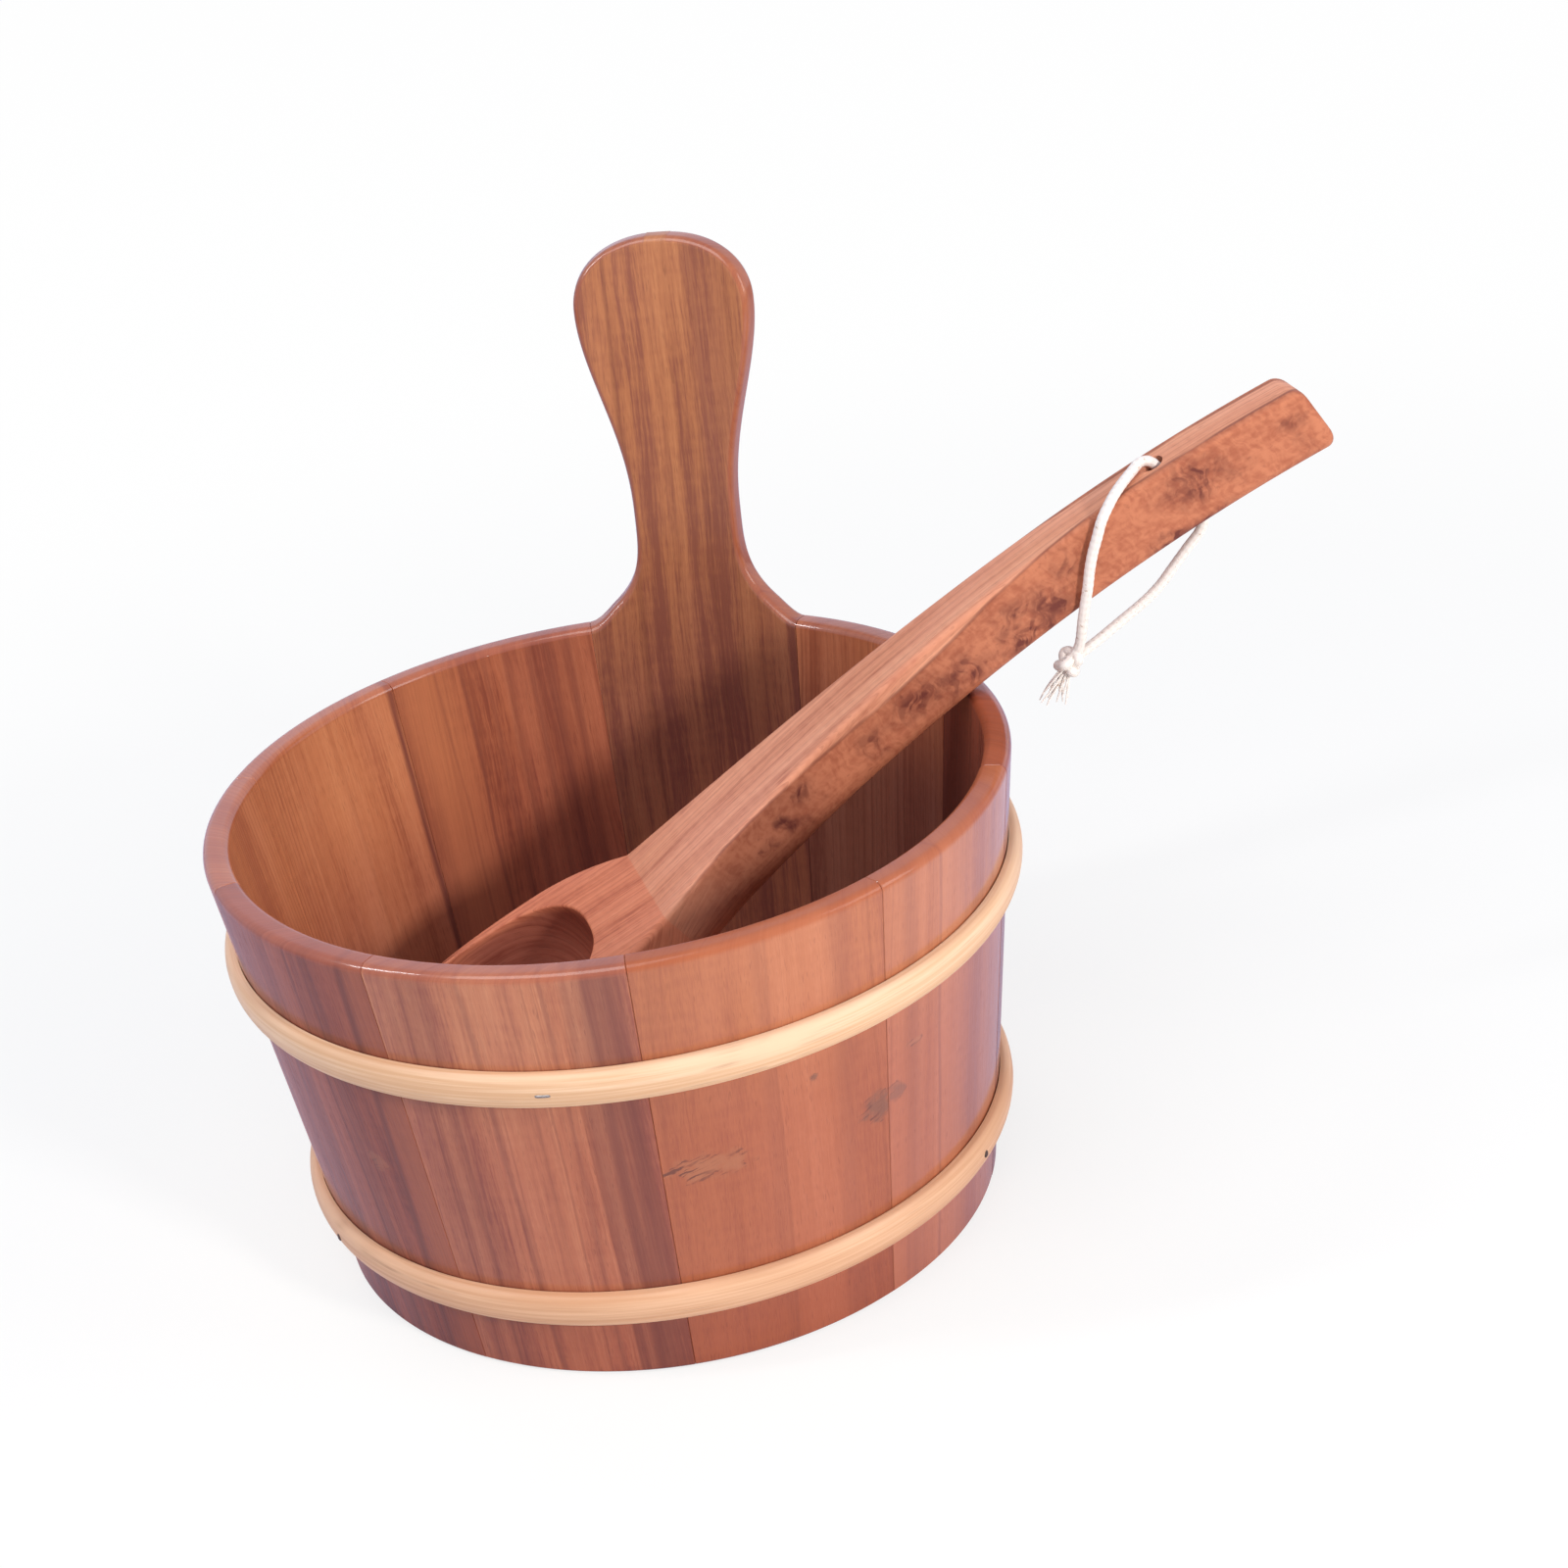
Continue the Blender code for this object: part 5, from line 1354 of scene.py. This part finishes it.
def ladle_section(x, side_in=0.0, end_in=0.0):
    """Points round the ladle at one place along it, shrunk at the sides and at top and bottom."""
    half = ladle_half_width(x) - side_in
    top = ladle_top(x) - end_in
    bottom = ladle_bottom(x) + end_in
    edge = min(LADLE_EDGE_ROUND, 0.3 * half, 0.3 * (top - bottom))
    under = min(under_round(x), 0.6 * (top - bottom))
    guard = min(GUARD, 0.1 * half, 0.04 * (top - bottom))
    points = [(half - edge - guard, top)]
    points += [(half - edge * (1 - sine), top - edge * (1 - cosine)) for sine, cosine in quarter_turn(6)]
    points += [(half, top - edge - guard), (half, bottom + under + guard)]
    points += [(half - under * (1 - cosine), bottom + under * (1 - sine))
               for sine, cosine in quarter_turn(12)]
    lean = LADLE_END_LEAN * max(x / LADLE_HANDLE, 0.0) ** 2
    placed = []
    for y, z in points:
        shift = lean * (z - (top + bottom) / 2)
        placed.append(Vector((x + shift, y, z + ladle_top(x + shift) - ladle_top(x))))
    return placed + [Vector((spot.x, -spot.y, spot.z)) for spot in reversed(placed)]


def hollow_ring(bm, grow, deep, shrink=1.0):
    """One ring of the hollow on the bowl's tilted face: wider by an amount, down by a depth."""
    tilt = Matrix.Rotation(BOWL_TILT, 3, "Y")
    half_length = HOLLOW_LENGTH / 2 + grow
    half_width = HOLLOW_HALF_WIDTH + grow
    ring = []
    for i in range(HOLLOW_SIDES):
        angle = 2 * pi * (i + 0.5) / HOLLOW_SIDES
        x, y = cos(angle), sin(angle)
        square = (abs(x) ** HOLLOW_POWER + abs(y) ** HOLLOW_POWER) ** (-1 / HOLLOW_POWER) * shrink
        along = -BOWL_BACK_WALL - HOLLOW_LENGTH / 2 + half_length * x * square
        ring.append(bm.verts.new(tilt @ Vector((along, half_width * y * square, -deep))))
    return ring


def hollow_rings(bm):
    """From the flat round the mouth, over its eased lip, and down to the floor of the hollow."""
    rings = [hollow_ring(bm, HOLLOW_LIP / 2 + GUARD, 0.0)]
    for sine, cosine in quarter_turn(5):
        rings.append(hollow_ring(bm, HOLLOW_LIP / 2 - HOLLOW_LIP * sine, HOLLOW_LIP * (1 - cosine)))
    for t in fractions(HOLLOW_STEPS)[1:]:
        share = sin(HOLLOW_LAST_TURN * t)
        shrink = (1 - share ** HOLLOW_POWER) ** (1 / HOLLOW_POWER)
        deep = HOLLOW_LIP + (HOLLOW_DEPTH - HOLLOW_LIP) * share
        rings.append(hollow_ring(bm, -HOLLOW_LIP / 2, deep, shrink))
    return rings


def ladle_blank():
    """The ladle with its hollow, before the cord hole is bored."""
    bm = bmesh.new()
    turns = [*BOWL_TIP_TURNS, *(BOWL_TIP_LAST_TURN * (1 - t) for t in fractions(BOWL_TIP_STEPS)[:-1])]
    stations = [-BOWL_SHOULDER - (BOWL_LENGTH - BOWL_SHOULDER) * sin(turn) for turn in turns]
    stations += [-BOWL_SHOULDER * (1 - t) for t in fractions(BOWL_SHOULDER_STEPS)]
    back = len(stations) - 1
    stations += [(LADLE_HANDLE - LADLE_END_ROUND) * t for t in fractions(LADLE_STEPS)[1:]]
    sections = [ladle_section(x) for x in stations]
    for sine, cosine in quarter_turn(LADLE_END_STEPS)[1:]:
        shrink = LADLE_END_ROUND * (1 - cosine)
        sections.append(ladle_section(LADLE_HANDLE - LADLE_END_ROUND * (1 - sine), 0.5 * shrink, shrink))
    rings = [[bm.verts.new(spot) for spot in section] for section in sections]
    skin(bm, rings, closed=False)
    ends = [bm.faces.new(rings[0]), bm.faces.new(rings[-1])]
    for ring, following in zip(rings[back:], rings[back + 1:]):
        bm.faces.new((ring[-1], ring[0], following[0], following[-1]))

    # The bowl's flat top, between its outline and the mouth of the hollow
    hollow = hollow_rings(bm)
    skin(bm, hollow)
    bm.faces.new(hollow[-1])
    border = [(ring[0], ring[-1]) for ring in (rings[0], rings[back])]
    for ring, following in zip(rings[:back], rings[1:]):
        border += [(ring[0], following[0]), (ring[-1], following[-1])]
    border += [(hollow[0][i - 1], hollow[0][i]) for i in range(HOLLOW_SIDES)]
    edges = [bm.edges.get(pair) or bm.edges.new(pair) for pair in border]
    filled = bmesh.ops.triangle_fill(bm, edges=edges, use_beauty=True)
    flat = [face for face in filled["geom"] if isinstance(face, bmesh.types.BMFace)]
    bmesh.ops.recalc_face_normals(bm, faces=bm.faces)
    for face in flat + ends:
        face.smooth = False
    return bm


def cord_hole_cutter():
    """A round bar that opens out at the ladle's top and underside, to ease the hole's edges."""
    top = ladle_top(CORD_HOLE_AT)
    bottom = top - LADLE_DEPTH
    wide = CORD_HOLE_RADIUS + 3 * CORD_HOLE_EASE
    bm = turned([(wide, bottom - 2 * CORD_HOLE_EASE), (CORD_HOLE_RADIUS, bottom + CORD_HOLE_EASE),
                 (CORD_HOLE_RADIUS, top - CORD_HOLE_EASE), (wide, top + 2 * CORD_HOLE_EASE)], CORD_HOLE_SIDES)
    bmesh.ops.translate(bm, verts=bm.verts, vec=(CORD_HOLE_AT, 0.0, 0.0))
    return new_object("cord_hole_cutter", mesh_of("cord_hole_cutter", bm))


def add_ladle():
    bm = ladle_blank()
    mesh = bpy.data.meshes.new("ladle_wood")
    bm.to_mesh(mesh)
    bm.free()
    mesh.materials.append(ladle_cedar())
    obj = new_object("ladle_wood", mesh)
    cutter = cord_hole_cutter()
    boring = obj.modifiers.new("cord_hole", "BOOLEAN")
    boring.operation = "DIFFERENCE"
    boring.solver = "EXACT"
    boring.object = cutter
    graph = bpy.context.evaluated_depsgraph_get()
    bored = bpy.data.meshes.new_from_object(obj.evaluated_get(graph))
    obj.modifiers.clear()
    obj.data = bored
    bpy.data.objects.remove(cutter)
    flat = [polygon for polygon in bored.polygons if not polygon.use_smooth]
    shade(bored)
    for polygon in flat:
        polygon.use_smooth = False
    spots = [vert.co.copy() for vert in bored.vertices]
    write_attribute(bored, "place", "FLOAT_VECTOR",
                    [Vector((spot.y, spot.x, ladle_top(spot.x) - spot.z)) for spot in spots])
    write_attribute(bored, "half_width", "FLOAT", [ladle_half_width(spot.x) for spot in spots])
    # The ridge between the handle's top and the bowl's tilted face stays crisp
    for edge in bored.edges:
        if all(abs(spots[index].x) < NEARLY and spots[index].z > -NEARLY for index in edge.vertices):
            edge.use_edge_sharp = True
    bored.transform(LADLE_FRAME)
    settle(obj, "ladle", "ladle_cedar", "ladle")


# Cord

KNOT_MIDDLE = Vector((KNOT_PLACE[0], KNOT_PLACE[1], ladle_top(KNOT_PLACE[0]) + KNOT_PLACE[2]))


def cord_loop():
    """From inside the handle's hole, down its near side to the knot, and back under it into the hole."""
    middle = Vector((CORD_HOLE_AT, 0.0, ladle_top(CORD_HOLE_AT) - LADLE_DEPTH / 2))
    upper = [(x, y, ladle_top(x) + lift) for x, y, lift in reversed(CORD_UPPER_ROUTE)]
    lower = [(x, y, ladle_bottom(x) - drop) for x, y, drop in reversed(CORD_LOWER_ROUTE)]
    inside = Vector((0.0, 0.0, CORD_INSIDE_GAP))
    return [middle + inside, *upper, KNOT_MIDDLE, *lower, middle - inside]


def knot_line():
    """A tight three-lobed loop, as an overhand knot draws up."""
    points = []
    x_radius, y_radius, z_radius = (radius - CORD_RADIUS for radius in KNOT_RADII)
    for i in range(KNOT_POINTS):
        t = 2 * pi * i / KNOT_POINTS
        points.append(Vector((
            x_radius / 3 * (sin(t) + 2 * sin(2 * t)),
            y_radius * -sin(3 * t),
            z_radius / 3 * (cos(t) - 2 * cos(2 * t)))))
    return points


def tail_yarns(bm):
    """The two loose ends, each untwisted into a few thin yarns that part towards their tips."""
    for tail, reach in enumerate(TAIL_REACHES):
        reach = Vector(reach)
        across = reach.orthogonal().normalized()
        for yarn in range(YARN_COUNT):
            away = Matrix.Rotation(2 * pi * yarn / YARN_COUNT + tail, 3, reach) @ across
            length = 1.0 - YARN_SHORTER * ((yarn * 2 + tail) % 4)
            points = []
            for t in fractions(YARN_STEPS):
                curl = Matrix.Rotation(TAIL_CURL * t, 3, reach) @ away
                sag = Vector((0.0, 0.0, -TAIL_SAG * t * t))
                points.append(reach * t * length + curl * (YARN_APART + YARN_SPREAD * t) + sag)
            radii = [YARN_RADIUS * (1 - YARN_TAPER * t ** 3) for t in fractions(YARN_STEPS)]
            tube(bm, points, radii, YARN_SIDES)


def add_cord(tree):
    braid = {**BRAID, "Material": cotton()}
    path = [LADLE_FRAME @ point for point in smooth_curve(cord_loop(), CORD_POINTS)]
    cord = run_tree("cord_loop", line_mesh("cord_loop", path), tree, braid)

    knot = run_tree("cord_loop_knot", line_mesh("cord_loop_knot", knot_line(), closed=True), tree, braid)
    bm = bmesh.new()
    bm.from_mesh(knot.data)
    tail_yarns(bm)
    bm.to_mesh(knot.data)
    bm.free()
    shade(knot.data)
    knot.data.transform(LADLE_FRAME @ Matrix.Translation(KNOT_MIDDLE))
    settle(knot, "ladle", "cotton", "cord_knot")
    settle(cord, "ladle", "cotton", "cord")
    length = sum((after - before).length for before, after in zip(path, path[1:]))


# Studio

WHITE = rgb(1.0, 1.0, 1.0)
CAMERA_PLACE = Vector((0.28109, -0.78937, 0.53825))     # from the bucket's axis at the foot
CAMERA_TURN = (radians(15.92), radians(90 - 25.75), radians(-7.993))
CAMERA_LENS = 68.93
CAMERA_SENSOR = 36.0
LAMP_TARGET = AXIS + Vector((0.0, 0.0, 0.10))
# Soft lamps: azimuth and elevation in degrees, distance, width and height, power, colour, mirrored or not
SOFTBOXES = {
    "key_front": (-37, 22.6, 1.6, (0.20, 0.20), 16.0, (1.0, 0.97, 0.94), False),
    "fill_above": (-100, 62, 1.8, (1.4, 1.1), 16.0, (1.0, 1.0, 1.0), True),
    "fill_right": (-4, 24, 1.6, (0.7, 0.7), 5.5, (1.0, 0.98, 0.97), True),
    "fill_behind": (135, 28, 1.8, (1.0, 1.0), 7.0, (1.0, 0.98, 0.95), False),
    "rim_gleam": (-153, 43, 1.6, (0.12, 0.60), 6.3, (0.94, 0.95, 1.0), True),
}


def add_camera():
    camera = bpy.data.cameras.new("camera")
    camera.lens = CAMERA_LENS
    camera.sensor_width = CAMERA_SENSOR
    obj = new_object("camera", camera)
    azimuth, pitch, roll = CAMERA_TURN
    turn = Matrix.Rotation(azimuth, 4, "Z") @ Matrix.Rotation(pitch, 4, "X") @ Matrix.Rotation(roll, 4, "Z")
    obj.matrix_world = Matrix.Translation(AXIS + CAMERA_PLACE) @ turn
    bpy.context.scene.camera = obj


def seen_directly(make, rays):
    return make.math("MAXIMUM", rays["Is Camera Ray"], rays["Is Transmission Ray"])


def add_floor():
    """A pale floor that takes the object's shadow, lifted towards white where the camera sees it."""
    bm = bmesh.new()
    bmesh.ops.create_grid(bm, x_segments=1, y_segments=1, size=6.0)
    floor = new_object("floor", mesh_of("floor", bm, outwards=False))
    material, make, shader = new_material("pale_floor", Roughness=0.9, Specular_IOR_Level=0.1)
    spot = object_place(make)
    rays = make.wires("ShaderNodeLightPath")
    pale = make.mix(make.noise(spot, 3.0, 12.0), rgb(0.87, 0.86, 0.79), rgb(0.91, 0.90, 0.83))
    make.feed(shader.inputs["Base Color"], make.mix(rays["Is Glossy Ray"], pale, rgb(0.66, 0.63, 0.76)))
    lifted = make.wire("ShaderNodeEmission", {"Color": WHITE, "Strength": 1.0})
    far_off = make.vector("LENGTH", spot).smooth(0.20, 0.90)
    share = seen_directly(make, rays) * (0.74 + far_off * 0.25)
    blend = make.wire("ShaderNodeMixShader", {"Fac": share, 1: Wire(make, shader.outputs[0]), 2: lifted})
    make.feed(material.node_tree.nodes["Material Output"].inputs["Surface"], blend)
    floor.data.materials.append(material)


def add_world():
    """Even surroundings: a low cool light, a pale lavender where mirrored and white where seen."""
    world = bpy.data.worlds.new("studio")
    world.use_nodes = True
    bpy.context.scene.world = world
    make = NodeMaker(world.node_tree)
    rays = make.wires("ShaderNodeLightPath")
    colour = make.mix(rays["Is Glossy Ray"], rgb(0.16, 0.195, 0.34), rgb(0.80, 0.80, 1.0))
    colour = make.mix(seen_directly(make, rays), colour, WHITE)
    make.feed(world.node_tree.nodes["Background"].inputs["Color"], colour)


def add_lights():
    """Soft lamps that face the bucket, each with or without its reflection in the varnish."""
    for name, (azimuth, elevation, distance, size, power, colour, mirrored) in SOFTBOXES.items():
        lamp = bpy.data.lights.new(name, "AREA")
        lamp.shape = "RECTANGLE"
        lamp.size, lamp.size_y = size
        lamp.energy = power
        lamp.color = colour
        obj = new_object(name, lamp)
        obj.visible_glossy = mirrored
        away = polar(cos(radians(elevation)), radians(azimuth), sin(radians(elevation)))
        turn = away.to_track_quat("Z", "Y").to_matrix().to_4x4()
        obj.matrix_world = Matrix.Translation(LAMP_TARGET + away * distance) @ turn


def build():
    bpy.context.scene.view_settings.view_transform = "Standard"
    add_camera()
    bent_piece = bent_piece_tree()
    add_cord(braided_cord_tree())
    add_staves(bent_piece)
    add_handle_stave()
    add_base()
    add_hoops(bent_piece)
    add_fasteners(fastener_row_tree())
    add_ladle()
    peg_wood = bamboo()
    for name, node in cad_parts.items():
        if "_peg_" in name:
            node.data.materials.clear()
            node.data.materials.append(peg_wood)
    add_floor()
    add_world()
    add_lights()


build()
